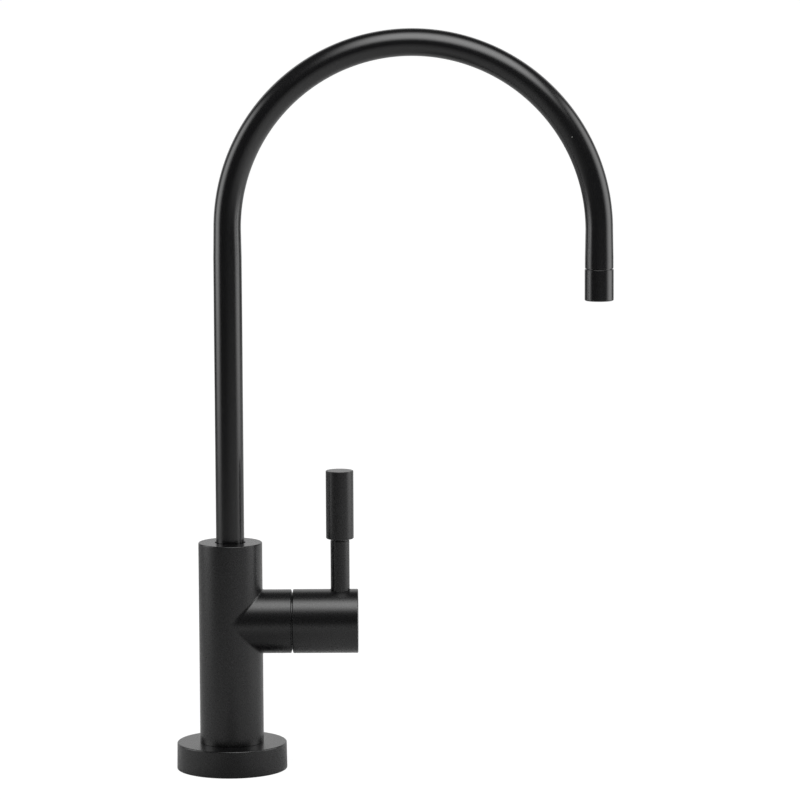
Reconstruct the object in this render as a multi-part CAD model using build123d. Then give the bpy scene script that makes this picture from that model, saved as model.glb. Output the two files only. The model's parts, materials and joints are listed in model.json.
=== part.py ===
from build123d import *
import os
from math import cos, radians, sin, tan

# Reverse osmosis drinking-water faucet with a gooseneck spout and a side lever.
# Lengths are in millimetres. The origin is the centre of the base's underside, on the worktop.
# +Z is up, +X runs along the side port to the handle, and -Y faces the user.

# Clearances, each on the radius unless it says otherwise
RUN_GAP = 0.05  # shaft in its bearing
THREAD_GAP = 0.03  # thread crest in its tapped hole
WIPE_GAP = 0.04  # seal that turns in a bore
LOOSE_GAP = 0.1  # part that drops into its pocket
FREE_GAP = 0.35  # part that passes another without touching
FACE_GAP = 0.05  # end play between faces, along the axis

# Base plate, with a hollow underside and a gasket let into its foot
BASE_TOP_D = 46.8
BASE_FOOT_D = 47.1
BASE_H = 11.4
BASE_TOP_EDGE = 0.4
BASE_FOOT_EDGE = 0.3
BASE_HOLE_GAP = 0.1
BASE_BOSS_WALL = 3.4
BASE_POCKET_H = 6.0
BASE_RIB_W = 1.0
GASKET_OUT_D = 43.8
GASKET_W = 2.8
GASKET_H = 1.2

# Tee body: an upright barrel and a side port of the same diameter
TEE_D = 27.2
BODY_TOP_EDGE = 0.4
BODY_FOOT_EDGE = 0.15
PORT_Z = 63.4
PORT_END_X = 25.95
PORT_LIP_DEEP = 0.7
PORT_LIP_LONG = 0.25
SEAM_FILLET = 1.1
INLET_BORE_D = 8.0
SEAT_BORE_D = 7.0
SEAT_X = 4.5
OUTLET_DRILL_D = 4.8
OUTLET_DRILL_X = 4.0
OUTLET_DRILL_BITE = 3.4  # how far the outlet drilling runs down into the cartridge chamber
SOCKET_FLOOR_WALL = 3.1
SOCKET_DEEP = 22.1
SOCKET_MOUTH_EDGE = 0.15

# Spout tube: an upright leg, a half circle and a short leg down to the outlet
TUBE_D = 12.0
TUBE_WALL = 1.0
TUBE_RISE = 133.8  # straight tube above the body
BEND_RADIUS = 78.4
OUTLET_LEG_L = 16.35
SPOUT_TURN_DEG = 4.2  # how far the spout is swung towards the user at rest

# Swivel insert, brazed into the foot of the tube, measured up from the socket's floor
INSERT_H = 12.5
INSERT_BORE_D = 8.4
INSERT_SPIGOT_H = 6.0
INSERT_SEAL_HEIGHTS = (2.1, 5.7)
INSERT_SEAL_GROOVE_DEEP = 1.35
INSERT_SEAL_GROOVE_W = 1.7
INSERT_LOCK_HEIGHT = 9.7
INSERT_LOCK_DEEP = 1.05
INSERT_LOCK_PLAY = 0.2
GLIDE_WALL = 0.45
GLIDE_H = 6.7
GLIDE_SUNK = 1.4

# Spout retaining screw, in the back of the body
LOCK_SCREW_D = 4.0
LOCK_SCREW_DOG_D = 2.4
LOCK_SCREW_DOG_L = 2.0
LOCK_SCREW_SUNK = 0.7
LOCK_SCREW_TIP_GAP = 0.15
LOCK_SCREW_KEY_AF = 2.0
LOCK_SCREW_KEY_DEEP = 2.2

# Nozzle at the end of the spout
NOZZLE_D = 12.2
NOZZLE_L = 13.25
NOZZLE_NECK_DEEP = 0.35
NOZZLE_NECK_L = 0.4
NOZZLE_SPIGOT_H = 6.5
NOZZLE_SPIGOT_BORE_D = 7.0
NOZZLE_MOUTH_D = 9.6
NOZZLE_MOUTH_H = 8.5
NOZZLE_FOOT_ROUND = 0.5
NOZZLE_TOP_EDGE = 0.1
NOZZLE_SEAL_GROOVE_DEEP = 0.8
NOZZLE_SEAL_GROOVE_W = 1.1
NOZZLE_SEAL_HEIGHT = 2.95
SCREEN_H = 0.4
SCREEN_HOLE_D = 0.7
SCREEN_PITCH = 1.05
SCREEN_RINGS = 3
STRAIGHTENER_H = 4.5
STRAIGHTENER_HOLE_D = 1.2
STRAIGHTENER_PITCH = 1.6
STRAIGHTENER_RINGS = 2
NOZZLE_RING_H = 0.8
NOZZLE_RING_W = 0.7

# Quarter-turn ceramic cartridge, measured along the port
SEAL_L = 2.8
DISC_D = 12.2
DISC_L = 3.0
DISC_EAR_L = 0.8
DISC_EAR_W = 2.5
DISC_WINDOW_IN_R = 1.2
DISC_WINDOW_OUT_R = 4.6
DISC_WINDOW_DEG = 76.0
SHELL_WALL = 1.4
SHELL_MOUTH_GAP = 1.0
SHELL_FLANGE_X = 16.3
SHELL_FLANGE_L = 2.2
SHELL_FLANGE_GAP = 0.4
SHELL_SEAL_GROOVE_DEEP = 1.0
SHELL_SEAL_GROOVE_W = 1.5
SHELL_WINDOW_W = 4.0
SHELL_WINDOW_L = 1.7
CHAMBER_GAP = 1.4  # ring of water round the shell
NECK_WALL = 1.95
DRIVER_W = 6.0
DRIVER_L = 2.0
DRIVER_PLAY = 0.2
TANG_W = 2.0
TANG_SLOT_DEEP = 1.2
TANG_L = 1.3
SPINDLE_D = 8.0
SPINDLE_SEAL_X = (21.0, 24.0)
SPINDLE_SEAL_GROOVE_DEEP = 0.95
SPINDLE_SEAL_GROOVE_W = 1.3
SPINDLE_SQUARE = 5.4
SPINDLE_END_GAP = 0.3
HANDLE_TURN_DEG = 90.0
STOP_TAB_DEG = 30.0
STOP_PLAY_DEG = 2.0
STOP_TAB_L = 1.8
STOP_TAB_GAP = 0.3
STOP_RING_L = 1.2
CLIP_W = 2.1
CLIP_L = 0.8
CLIP_SHAFT_D = 5.8
CLIP_MOUTH_DEG = 70.0

# Bonnet nut that holds the cartridge in the port
BONNET_FLANGE_L = 2.25
BONNET_HEX_AF = 18.0
BONNET_HEX_L = 2.8
BONNET_NECK_GAP = 0.15

# Handle hub, lever and grip
HUB_D = 27.3
HUB_GAP = 0.5
HUB_L = 27.85
HUB_LIP_DEEP = 0.7
HUB_LIP_LONG = 0.25
HUB_END_EDGE = 0.3
HUB_MOUTH_WALL = 1.0
HUB_MOUTH_GAP = 0.4
HUB_SQUARE_L = 5.8
BUSH_WALL = 0.7
BUSH_L = 4.0
SET_SCREW_INSET = 2.8
SET_SCREW_D = 4.0
SET_SCREW_SUNK = 1.8
SET_SCREW_KEY_AF = 2.0
SET_SCREW_KEY_DEEP = 2.2
LEVER_INSET = 7.6  # from the hub's end face to the lever's axis
STEM_D = 8.1
STEM_SHOWN_L = 21.95  # from the top of the hub to the foot of the grip
STEM_POCKET_GAP = 0.3
STEM_POCKET_DEEP = 1.8
STEM_THREAD_D = 6.0
STEM_TAIL_L = 6.4
STEM_TAIL_SPACE = 0.6
STEM_NECK_DEEP = 0.35
STEM_NECK_L = 0.8
STEM_TOP_EDGE = 0.15
STEM_SPIGOT_L = 12.0
GRIP_D = 11.8
GRIP_L = 29.2
GRIP_FOOT_EDGE = 0.5
GRIP_TOP_EDGE = 0.3

# Threaded shank that passes through the worktop
SHANK_TOP_D = 14.0
SHANK_TOP_Z = 27.0
SHANK_SHOULDER_Z = 1.5
SHANK_D = 11.11
SHANK_FOOT_Z = -60.0
SHANK_BORE_D = 5.6
SHANK_PITCH = 1.058
SHANK_THREAD_DEEP = 0.55
SHANK_LEAD_L = 0.7
SHANK_SEAL_H = 1.5
SHANK_SEAL_W = 2.7

# Clamp under the worktop, set for a worktop of this thickness
WORKTOP_H = 30.0
PAD_D = 32.0
PAD_H = 2.5
PLATE_D = 30.0
PLATE_H = 1.5
SPRING_WASHER_D = 18.0
SPRING_WASHER_H = 1.2
SPRING_WASHER_SPLIT_W = 2.0
NUT_AF = 17.5
NUT_H = 6.0

# Push-fit inlet for a quarter-inch supply tube
INLET_TUBE_D = 6.5
INLET_RING_GAP = 0.2
ADAPTER_GRIP_L = 9.5
ADAPTER_HEX_AF = 17.0
ADAPTER_HEX_H = 11.5
ADAPTER_WALL = 2.0
ADAPTER_WASHER_H = 1.2
ADAPTER_WEB_H = 2.0
ADAPTER_WEB_BORE_D = 4.6
ADAPTER_GUIDE_H = 5.8
INLET_SEAL_SECTION = 1.8
SPACER_H = 1.0
GRAB_RING_H = 0.35
GRAB_RING_TEETH = 10
GRAB_RING_SLOT_W = 0.7
GRAB_RING_SLOT_L = 1.5
CAP_H = 6.85
CAP_WALL = 1.0
CAP_LIP_H = 2.0
COLLET_WALL = 1.35
COLLET_GAP = 0.1
COLLET_BEAD_DEEP = 0.45
COLLET_BEAD_GAP = 0.15
COLLET_BEAD_H = 1.5
COLLET_FLANGE_D = 13.0
COLLET_FLANGE_H = 1.5
COLLET_TRAVEL = 1.2
COLLET_STOP_GAP = 0.1
COLLET_SLOTS = 4
COLLET_SLOT_W = 0.8

# Straight sides of the fan that a round slice is cut with, outside its own arc
FAN_SIDES = 8

# Radii that follow from the sizes above
TEE_R = TEE_D / 2
GASKET_OUT_R = GASKET_OUT_D / 2
GASKET_IN_R = GASKET_OUT_R - GASKET_W
BASE_HOLE_R = SHANK_TOP_D / 2 + BASE_HOLE_GAP
BASE_POCKET_R = GASKET_IN_R - LOOSE_GAP - BASE_RIB_W
TUBE_R = TUBE_D / 2
TUBE_BORE_R = TUBE_R - TUBE_WALL
SOCKET_R = TUBE_R + RUN_GAP + GLIDE_WALL
INSERT_R = SOCKET_R - RUN_GAP
INSERT_LOCK_W = LOCK_SCREW_DOG_D + 2 * INSERT_LOCK_PLAY
NOZZLE_R = NOZZLE_D / 2
NOZZLE_MOUTH_R = NOZZLE_MOUTH_D / 2
DISC_R = DISC_D / 2
DRIVER_R = DISC_R - LOOSE_GAP
DISC_EAR_R = DISC_R + DISC_EAR_L
SHELL_CAVITY_R = DISC_R + LOOSE_GAP
SHELL_R = SHELL_CAVITY_R + SHELL_WALL
CHAMBER_R = SHELL_R + CHAMBER_GAP
SHELL_FLANGE_R = CHAMBER_R - SHELL_FLANGE_GAP
SPINDLE_R = SPINDLE_D / 2
SPINDLE_BORE_R = SPINDLE_R + RUN_GAP
NECK_R = SPINDLE_BORE_R + NECK_WALL
STOP_RING_R = NECK_R - LOOSE_GAP
BONNET_BORE_R = NECK_R + BONNET_NECK_GAP
BONNET_CORNER_R = BONNET_HEX_AF / 2 / cos(radians(30))
HUB_R = HUB_D / 2
HUB_MOUTH_R = HUB_R - HUB_MOUTH_WALL
BONNET_FLANGE_R = HUB_MOUTH_R - HUB_MOUTH_GAP
BUSH_BORE_R = BONNET_CORNER_R + LOOSE_GAP
HUB_CAVITY_R = BUSH_BORE_R + BUSH_WALL
SHANK_R = SHANK_D / 2
INLET_TUBE_R = INLET_TUBE_D / 2
INLET_SEAL_R = INLET_TUBE_R + INLET_SEAL_SECTION
COLLET_R = INLET_TUBE_R + COLLET_WALL
CAP_LIP_R = COLLET_R + COLLET_GAP
COLLET_BEAD_R = COLLET_R + COLLET_BEAD_DEEP
CAP_BORE_R = COLLET_BEAD_R + COLLET_BEAD_GAP
CAP_R = CAP_BORE_R + CAP_WALL
ADAPTER_R = CAP_R + ADAPTER_WALL

# Heights that follow, from the body up to the spout
SOCKET_FLOOR_Z = PORT_Z + CHAMBER_R + SOCKET_FLOOR_WALL
OUTLET_DRILL_FLOOR_Z = PORT_Z + CHAMBER_R - OUTLET_DRILL_BITE
BODY_TOP_Z = SOCKET_FLOOR_Z + SOCKET_DEEP
TUBE_FOOT_Z = SOCKET_FLOOR_Z + INSERT_H
INSERT_LOCK_Z = SOCKET_FLOOR_Z + INSERT_LOCK_HEIGHT
INSERT_SEAL_Z = [SOCKET_FLOOR_Z + height for height in INSERT_SEAL_HEIGHTS]
GLIDE_TOP_Z = BODY_TOP_Z - GLIDE_SUNK
BEND_Z = BODY_TOP_Z + TUBE_RISE
TUBE_TIP_Z = BEND_Z - OUTLET_LEG_L
NOZZLE_TOP_Z = TUBE_TIP_Z - NOZZLE_NECK_L
NOZZLE_FOOT_Z = NOZZLE_TOP_Z - NOZZLE_L
NOZZLE_LEDGE_Z = NOZZLE_FOOT_Z + NOZZLE_MOUTH_H
NOZZLE_SEAL_Z = TUBE_TIP_Z + NOZZLE_SEAL_HEIGHT

# Stations that follow along the port, from the seat out to the lever
FIXED_DISC_X = SEAT_X + SEAL_L
MOVING_DISC_X = FIXED_DISC_X + DISC_L
DRIVER_X = MOVING_DISC_X + DISC_L
DRIVER_END_X = DRIVER_X + DRIVER_L
SHELL_MOUTH_X = SEAT_X + SHELL_MOUTH_GAP
SHELL_CAVITY_END_X = DRIVER_END_X + DRIVER_PLAY
SHELL_FLANGE_END_X = SHELL_FLANGE_X + SHELL_FLANGE_L
SHELL_SEAL_X = SHELL_FLANGE_X + SHELL_FLANGE_L / 2
BONNET_HEX_X = PORT_END_X + BONNET_FLANGE_L
NECK_END_X = BONNET_HEX_X + BONNET_HEX_L
STOP_RING_X = NECK_END_X + FACE_GAP
CLIP_X = STOP_RING_X + STOP_RING_L
CLIP_END_X = CLIP_X + CLIP_L
HUB_START_X = PORT_END_X + HUB_GAP
HUB_MOUTH_END_X = BONNET_HEX_X + HUB_MOUTH_GAP
HUB_CORE_X = CLIP_END_X + FREE_GAP
HUB_SQUARE_END_X = HUB_CORE_X + HUB_SQUARE_L
SPINDLE_END_X = HUB_SQUARE_END_X - SPINDLE_END_GAP
SET_SCREW_X = HUB_CORE_X + SET_SCREW_INSET
HUB_END_X = HUB_START_X + HUB_L
LEVER_X = HUB_END_X - LEVER_INSET

# Heights that follow on the lever
HUB_TOP_Z = PORT_Z + HUB_R
STEM_SEAT_Z = HUB_TOP_Z - STEM_POCKET_DEEP
GRIP_FOOT_Z = HUB_TOP_Z + STEM_SHOWN_L
GRIP_TOP_Z = GRIP_FOOT_Z + GRIP_L

# Heights that follow, from the base down to the inlet
SHANK_HOLE_TOP_Z = SHANK_TOP_Z + SHANK_SEAL_H
PAD_TOP_Z = -WORKTOP_H
PLATE_TOP_Z = PAD_TOP_Z - PAD_H
SPRING_WASHER_TOP_Z = PLATE_TOP_Z - PLATE_H
NUT_TOP_Z = SPRING_WASHER_TOP_Z - SPRING_WASHER_H
ADAPTER_TOP_Z = SHANK_FOOT_Z + ADAPTER_GRIP_L
WEB_TOP_Z = SHANK_FOOT_Z - ADAPTER_WASHER_H
TUBE_STOP_Z = WEB_TOP_Z - ADAPTER_WEB_H
INLET_SEAL_TOP_Z = TUBE_STOP_Z - ADAPTER_GUIDE_H
SPACER_TOP_Z = INLET_SEAL_TOP_Z - INLET_SEAL_SECTION
GRAB_RING_TOP_Z = SPACER_TOP_Z - SPACER_H
CAP_TOP_Z = GRAB_RING_TOP_Z - GRAB_RING_H
ADAPTER_FOOT_Z = CAP_TOP_Z - CAP_H
CAP_LIP_TOP_Z = ADAPTER_FOOT_Z + CAP_LIP_H


def turned(outline):
    """A lathe part: a closed outline of (radius, height) points, spun about Z."""
    face = make_face(Polyline([(r, 0, z) for r, z in outline], close=True))
    return revolve(face, Axis.Z)


def rod(radius, low, high):
    """A plain cylinder on the Z axis between two heights."""
    return Pos(0, 0, low) * Cylinder(radius, high - low, align=(Align.CENTER, Align.CENTER, Align.MIN))


def ring(outer, inner, low, high):
    """A plain ring on the Z axis between two heights."""
    return turned([(inner, low), (outer, low), (outer, high), (inner, high)])


def block(x_size, y_size, low, high, x=0.0, y=0.0):
    """A box that stands between two heights, centred at (x, y)."""
    return Pos(x, y, low) * Box(x_size, y_size, high - low, align=(Align.CENTER, Align.CENTER, Align.MIN))


def hexagon(across_flats, low, high, corner_cut=True):
    """A hexagonal bar on the Z axis, its corners turned off at both ends as on a nut."""
    bar = Pos(0, 0, low) * extrude(RegularPolygon(across_flats / 2, 6, major_radius=False), high - low)
    if not corner_cut:
        return bar
    flat = across_flats / 2
    corner = flat / cos(radians(30))
    drop = (corner - flat) * tan(radians(30))
    return bar & turned([
        (0, low),
        (flat, low),
        (corner, low + drop),
        (corner, high - drop),
        (flat, high),
        (0, high),
    ])


def sector(outer, inner, low, high, middle_deg, width_deg):
    """A slice of a ring that spans width_deg about the direction middle_deg."""
    start = middle_deg - width_deg / 2
    step = width_deg / FAN_SIDES
    angles = [radians(start + step * i) for i in range(FAN_SIDES + 1)]
    reach = outer / cos(radians(step / 2))
    fan = [(0, 0)] + [(reach * cos(a), reach * sin(a)) for a in angles]
    wedge = Pos(0, 0, low) * extrude(make_face(Polyline(fan, close=True)), high - low)
    return wedge & ring(outer, inner, low, high)


def seal_ring(outer, inner, height):
    """An O-ring that just fills the radii between inner and outer, centred at a height."""
    return Pos(0, 0, height) * Torus((outer + inner) / 2, (outer - inner) / 2)


def groove(outer, inner, height, width):
    """The ring that a turned groove removes, centred at a height."""
    return ring(outer, inner, height - width / 2, height + width / 2)


def on_port(part):
    """Lays a part drawn along Z along the side port, its zero at the body's axis."""
    return Pos(0, 0, PORT_Z) * Rot(0, 90, 0) * part


def on_spout(part):
    """Swings a spout part with the spout, about the body's axis."""
    return Rot(0, 0, -SPOUT_TURN_DEG) * part


def on_outlet(part):
    """Moves a part drawn on the Z axis to the outlet leg of the spout."""
    return on_spout(Pos(2 * BEND_RADIUS, 0, 0) * part)


def sieve_holes(rings, hole_r, pitch, low, high):
    """Rings of six, twelve, eighteen holes and so on about a middle one."""
    hole = rod(hole_r, low, high)
    holes = [hole]
    for k in range(1, rings + 1):
        for i in range(6 * k):
            angle = radians(60 / k * i)
            holes.append(Pos(k * pitch * cos(angle), k * pitch * sin(angle), 0) * hole)
    return holes


def thread_outline(crest_r, deep, pitch, low, high):
    """Zigzag points up a thread's side, from low to high, with whole ridges only."""
    ridges = int((high - low) / pitch)
    start = high - ridges * pitch
    points = [(crest_r - deep, start)]
    for i in range(ridges):
        points.append((crest_r, start + (i + 0.5) * pitch))
        points.append((crest_r - deep, start + (i + 1) * pitch))
    return points


def make_base_escutcheon():
    boss_r = BASE_HOLE_R + BASE_BOSS_WALL
    foot_r = BASE_FOOT_D / 2
    top_r = BASE_TOP_D / 2
    return turned([
        (BASE_HOLE_R, 0),
        (boss_r, 0),
        (boss_r, BASE_POCKET_H),
        (BASE_POCKET_R, BASE_POCKET_H),
        (BASE_POCKET_R, 0),
        (GASKET_IN_R - LOOSE_GAP, 0),
        (GASKET_IN_R - LOOSE_GAP, GASKET_H),
        (GASKET_OUT_R + LOOSE_GAP, GASKET_H),
        (GASKET_OUT_R + LOOSE_GAP, 0),
        (foot_r - BASE_FOOT_EDGE, 0),
        (foot_r, BASE_FOOT_EDGE),
        (top_r, BASE_H - BASE_TOP_EDGE),
        (top_r - BASE_TOP_EDGE, BASE_H),
        (BASE_HOLE_R, BASE_H),
    ])


def make_base_gasket():
    return ring(GASKET_OUT_R, GASKET_IN_R, 0, GASKET_H)


def make_tee_body():
    barrel = turned([
        (0, BASE_H),
        (TEE_R - BODY_FOOT_EDGE, BASE_H),
        (TEE_R, BASE_H + BODY_FOOT_EDGE),
        (TEE_R, BODY_TOP_Z - BODY_TOP_EDGE),
        (TEE_R - BODY_TOP_EDGE, BODY_TOP_Z),
        (0, BODY_TOP_Z),
    ])
    port = on_port(turned([
        (0, 0),
        (TEE_R, 0),
        (TEE_R, PORT_END_X - PORT_LIP_LONG),
        (TEE_R - PORT_LIP_DEEP, PORT_END_X),
        (0, PORT_END_X),
    ]))
    tee = barrel + port
    tee = fillet(tee.edges().filter_by(GeomType.ELLIPSE), SEAM_FILLET)
    tee -= rod(SHANK_TOP_D / 2 + THREAD_GAP, BASE_H, SHANK_HOLE_TOP_Z)
    tee -= rod(INLET_BORE_D / 2, SHANK_HOLE_TOP_Z, PORT_Z + SEAT_BORE_D / 2)
    tee -= on_port(rod(SEAT_BORE_D / 2, 0, SEAT_X))
    tee -= on_port(rod(CHAMBER_R, SEAT_X, PORT_END_X))
    tee -= Pos(OUTLET_DRILL_X, 0, 0) * rod(OUTLET_DRILL_D / 2, OUTLET_DRILL_FLOOR_Z, SOCKET_FLOOR_Z)
    tee -= turned([
        (0, SOCKET_FLOOR_Z),
        (SOCKET_R, SOCKET_FLOOR_Z),
        (SOCKET_R, BODY_TOP_Z - SOCKET_MOUTH_EDGE),
        (SOCKET_R + SOCKET_MOUTH_EDGE, BODY_TOP_Z),
        (0, BODY_TOP_Z),
    ])
    tee -= at_lock_screw(rod(LOCK_SCREW_D / 2 + THREAD_GAP, 0, TEE_R))
    return tee


def at_lock_screw(part):
    """Lays a part drawn along Z on the retaining screw's axis, pointing out of the back."""
    return Pos(0, 0, INSERT_LOCK_Z) * Rot(-90, 0, 0) * part


def make_spout_glide_ring():
    return ring(SOCKET_R, TUBE_R + RUN_GAP, GLIDE_TOP_Z - GLIDE_H, GLIDE_TOP_Z)


def key_screw(radius, low, high, key_af, key_deep):
    """A headless screw with a hexagonal key socket in its upper end."""
    return rod(radius, low, high) - hexagon(key_af, high - key_deep, high, corner_cut=False)


def make_spout_retaining_screw():
    tip = INSERT_R - INSERT_LOCK_DEEP + LOCK_SCREW_TIP_GAP
    dog_end = tip + LOCK_SCREW_DOG_L
    head = TEE_R - LOCK_SCREW_SUNK
    body = key_screw(LOCK_SCREW_D / 2, dog_end, head, LOCK_SCREW_KEY_AF, LOCK_SCREW_KEY_DEEP)
    return at_lock_screw(body + rod(LOCK_SCREW_DOG_D / 2, tip, dog_end))


def make_spout_tube():
    rise = (0, 0, BEND_Z)
    crown = (BEND_RADIUS, 0, BEND_Z + BEND_RADIUS)
    fall = (2 * BEND_RADIUS, 0, BEND_Z)
    path = Line((0, 0, TUBE_FOOT_Z), rise)
    path += ThreePointArc(rise, crown, fall)
    path += Line(fall, (2 * BEND_RADIUS, 0, TUBE_TIP_Z))
    section = Pos(0, 0, TUBE_FOOT_Z) * (Circle(TUBE_R) - Circle(TUBE_BORE_R))
    return on_spout(sweep(section, path=path))


def make_spout_insert():
    insert = turned([
        (INSERT_BORE_D / 2, SOCKET_FLOOR_Z),
        (INSERT_R, SOCKET_FLOOR_Z),
        (INSERT_R, TUBE_FOOT_Z),
        (TUBE_BORE_R, TUBE_FOOT_Z),
        (TUBE_BORE_R, TUBE_FOOT_Z + INSERT_SPIGOT_H),
        (INSERT_BORE_D / 2, TUBE_FOOT_Z + INSERT_SPIGOT_H),
    ])
    for z in INSERT_SEAL_Z:
        insert -= groove(SOCKET_R, INSERT_R - INSERT_SEAL_GROOVE_DEEP, z, INSERT_SEAL_GROOVE_W)
    insert -= groove(SOCKET_R, INSERT_R - INSERT_LOCK_DEEP, INSERT_LOCK_Z, INSERT_LOCK_W)
    return on_spout(insert)


def make_spout_orings():
    rings = [seal_ring(SOCKET_R - WIPE_GAP, INSERT_R - INSERT_SEAL_GROOVE_DEEP, z) for z in INSERT_SEAL_Z]
    return Compound(children=[on_spout(r) for r in rings])


def make_nozzle_shell():
    neck_r = NOZZLE_R - NOZZLE_NECK_DEEP
    spigot_bore_r = NOZZLE_SPIGOT_BORE_D / 2
    spigot_top = TUBE_TIP_Z + NOZZLE_SPIGOT_H
    shell = turned([
        (NOZZLE_MOUTH_R, NOZZLE_FOOT_Z),
        (NOZZLE_R, NOZZLE_FOOT_Z),
        (NOZZLE_R, NOZZLE_TOP_Z - NOZZLE_TOP_EDGE),
        (NOZZLE_R - NOZZLE_TOP_EDGE, NOZZLE_TOP_Z),
        (neck_r, NOZZLE_TOP_Z),
        (neck_r, TUBE_TIP_Z),
        (TUBE_BORE_R, TUBE_TIP_Z),
        (TUBE_BORE_R, spigot_top),
        (spigot_bore_r, spigot_top),
        (spigot_bore_r, NOZZLE_LEDGE_Z),
        (NOZZLE_MOUTH_R, NOZZLE_LEDGE_Z),
    ])
    foot_edge = shell.edges().filter_by(GeomType.CIRCLE).sort_by(Axis.Z)[:2].sort_by(SortBy.RADIUS)[-1]
    shell = fillet(foot_edge, NOZZLE_FOOT_ROUND)
    shell -= groove(TUBE_R, TUBE_BORE_R - NOZZLE_SEAL_GROOVE_DEEP, NOZZLE_SEAL_Z, NOZZLE_SEAL_GROOVE_W)
    return on_outlet(shell)


def make_nozzle_oring():
    return on_outlet(seal_ring(TUBE_BORE_R, TUBE_BORE_R - NOZZLE_SEAL_GROOVE_DEEP, NOZZLE_SEAL_Z))


def sieve(low, high, rings, hole_d, pitch):
    """A round plate that drops into the nozzle's mouth, pierced by rings of holes."""
    plate = rod(NOZZLE_MOUTH_R - LOOSE_GAP, low, high)
    return on_outlet(plate - sieve_holes(rings, hole_d / 2, pitch, low, high))


def make_nozzle_screen():
    low = NOZZLE_LEDGE_Z - SCREEN_H
    return sieve(low, NOZZLE_LEDGE_Z, SCREEN_RINGS, SCREEN_HOLE_D, SCREEN_PITCH)


def make_flow_straightener():
    top = NOZZLE_LEDGE_Z - SCREEN_H
    low = top - STRAIGHTENER_H
    return sieve(low, top, STRAIGHTENER_RINGS, STRAIGHTENER_HOLE_D, STRAIGHTENER_PITCH)


def make_nozzle_retaining_ring():
    top = NOZZLE_LEDGE_Z - SCREEN_H - STRAIGHTENER_H
    return on_outlet(ring(NOZZLE_MOUTH_R, NOZZLE_MOUTH_R - NOZZLE_RING_W, top - NOZZLE_RING_H, top))


def make_cartridge_seal():
    return on_port(ring(SHELL_CAVITY_R - RUN_GAP, SEAT_BORE_D / 2, SEAT_X, FIXED_DISC_X))


def disc_windows(middle_deg, low, high):
    """The two opposite openings of a ceramic disc."""
    return [
        sector(DISC_WINDOW_OUT_R, DISC_WINDOW_IN_R, low, high, middle_deg + side, DISC_WINDOW_DEG)
        for side in (0, 180)
    ]


def disc_ears(gap):
    """The bar whose two ends key the fixed disc into the shell."""
    ears = block(2 * DISC_EAR_R + 2 * gap, DISC_EAR_W + 2 * gap, FIXED_DISC_X, MOVING_DISC_X)
    return ears & rod(DISC_EAR_R + gap, FIXED_DISC_X, MOVING_DISC_X)


def make_fixed_disc():
    disc = rod(DISC_R, FIXED_DISC_X, MOVING_DISC_X) + disc_ears(0)
    return on_port(disc - disc_windows(0, FIXED_DISC_X, MOVING_DISC_X))


def tangs(gap):
    """The bar across the axis whose ends key the driver into slots in the moving disc's rim."""
    width = TANG_W + 2 * gap
    low = DRIVER_X - TANG_L - gap
    core = rod(DISC_R - TANG_SLOT_DEEP - gap, low, DRIVER_X)
    return block(2 * DISC_D, width, low, DRIVER_X) - core


def make_moving_disc():
    disc = rod(DISC_R, MOVING_DISC_X, DRIVER_X) - disc_windows(90, MOVING_DISC_X, DRIVER_X)
    return on_port(disc - tangs(RUN_GAP))


def make_cartridge_shell():
    shell = turned([
        (SHELL_CAVITY_R, SHELL_MOUTH_X),
        (SHELL_R, SHELL_MOUTH_X),
        (SHELL_R, SHELL_FLANGE_X),
        (SHELL_FLANGE_R, SHELL_FLANGE_X),
        (SHELL_FLANGE_R, SHELL_FLANGE_END_X),
        (NECK_R, SHELL_FLANGE_END_X),
        (NECK_R, NECK_END_X),
        (SPINDLE_BORE_R, NECK_END_X),
        (SPINDLE_BORE_R, SHELL_CAVITY_END_X),
        (SHELL_CAVITY_R, SHELL_CAVITY_END_X),
    ])
    shell -= groove(CHAMBER_R, SHELL_FLANGE_R - SHELL_SEAL_GROOVE_DEEP, SHELL_SEAL_X, SHELL_SEAL_GROOVE_W)
    shell -= block(2 * DISC_EAR_R + 2 * LOOSE_GAP, DISC_EAR_W + 2 * LOOSE_GAP, SHELL_MOUTH_X, MOVING_DISC_X)
    window = block(4 * SHELL_R, SHELL_WINDOW_W, DRIVER_X, DRIVER_X + SHELL_WINDOW_L)
    for turn in (45, 135):
        shell -= Rot(0, 0, turn) * window
    stop_middle = 180 + HANDLE_TURN_DEG / 2
    stop_width = HANDLE_TURN_DEG + STOP_TAB_DEG + 2 * STOP_PLAY_DEG
    stop_low = NECK_END_X - STOP_TAB_L - FACE_GAP
    shell -= sector(2 * NECK_R, SPINDLE_BORE_R, stop_low, NECK_END_X, stop_middle, stop_width)
    return on_port(shell)


def make_shell_oring():
    return on_port(seal_ring(CHAMBER_R, SHELL_FLANGE_R - SHELL_SEAL_GROOVE_DEEP, SHELL_SEAL_X))


def make_spindle():
    shaft = rod(SPINDLE_R, DRIVER_END_X, NECK_END_X)
    driver = block(DISC_D, DRIVER_W, DRIVER_X, DRIVER_END_X) + tangs(0)
    driver &= rod(DRIVER_R, DRIVER_X - TANG_L, DRIVER_END_X)
    square = block(SPINDLE_SQUARE, SPINDLE_SQUARE, NECK_END_X, SPINDLE_END_X)
    spindle = shaft + driver + square
    for x in SPINDLE_SEAL_X:
        spindle -= groove(SPINDLE_D, SPINDLE_R - SPINDLE_SEAL_GROOVE_DEEP, x, SPINDLE_SEAL_GROOVE_W)
    spindle -= ring(SPINDLE_D, CLIP_SHAFT_D / 2, CLIP_X, CLIP_END_X)
    return on_port(spindle)


def make_spindle_orings():
    inner = SPINDLE_R - SPINDLE_SEAL_GROOVE_DEEP
    outer = SPINDLE_BORE_R - WIPE_GAP / 2
    return Compound(children=[on_port(seal_ring(outer, inner, x)) for x in SPINDLE_SEAL_X])


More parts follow.
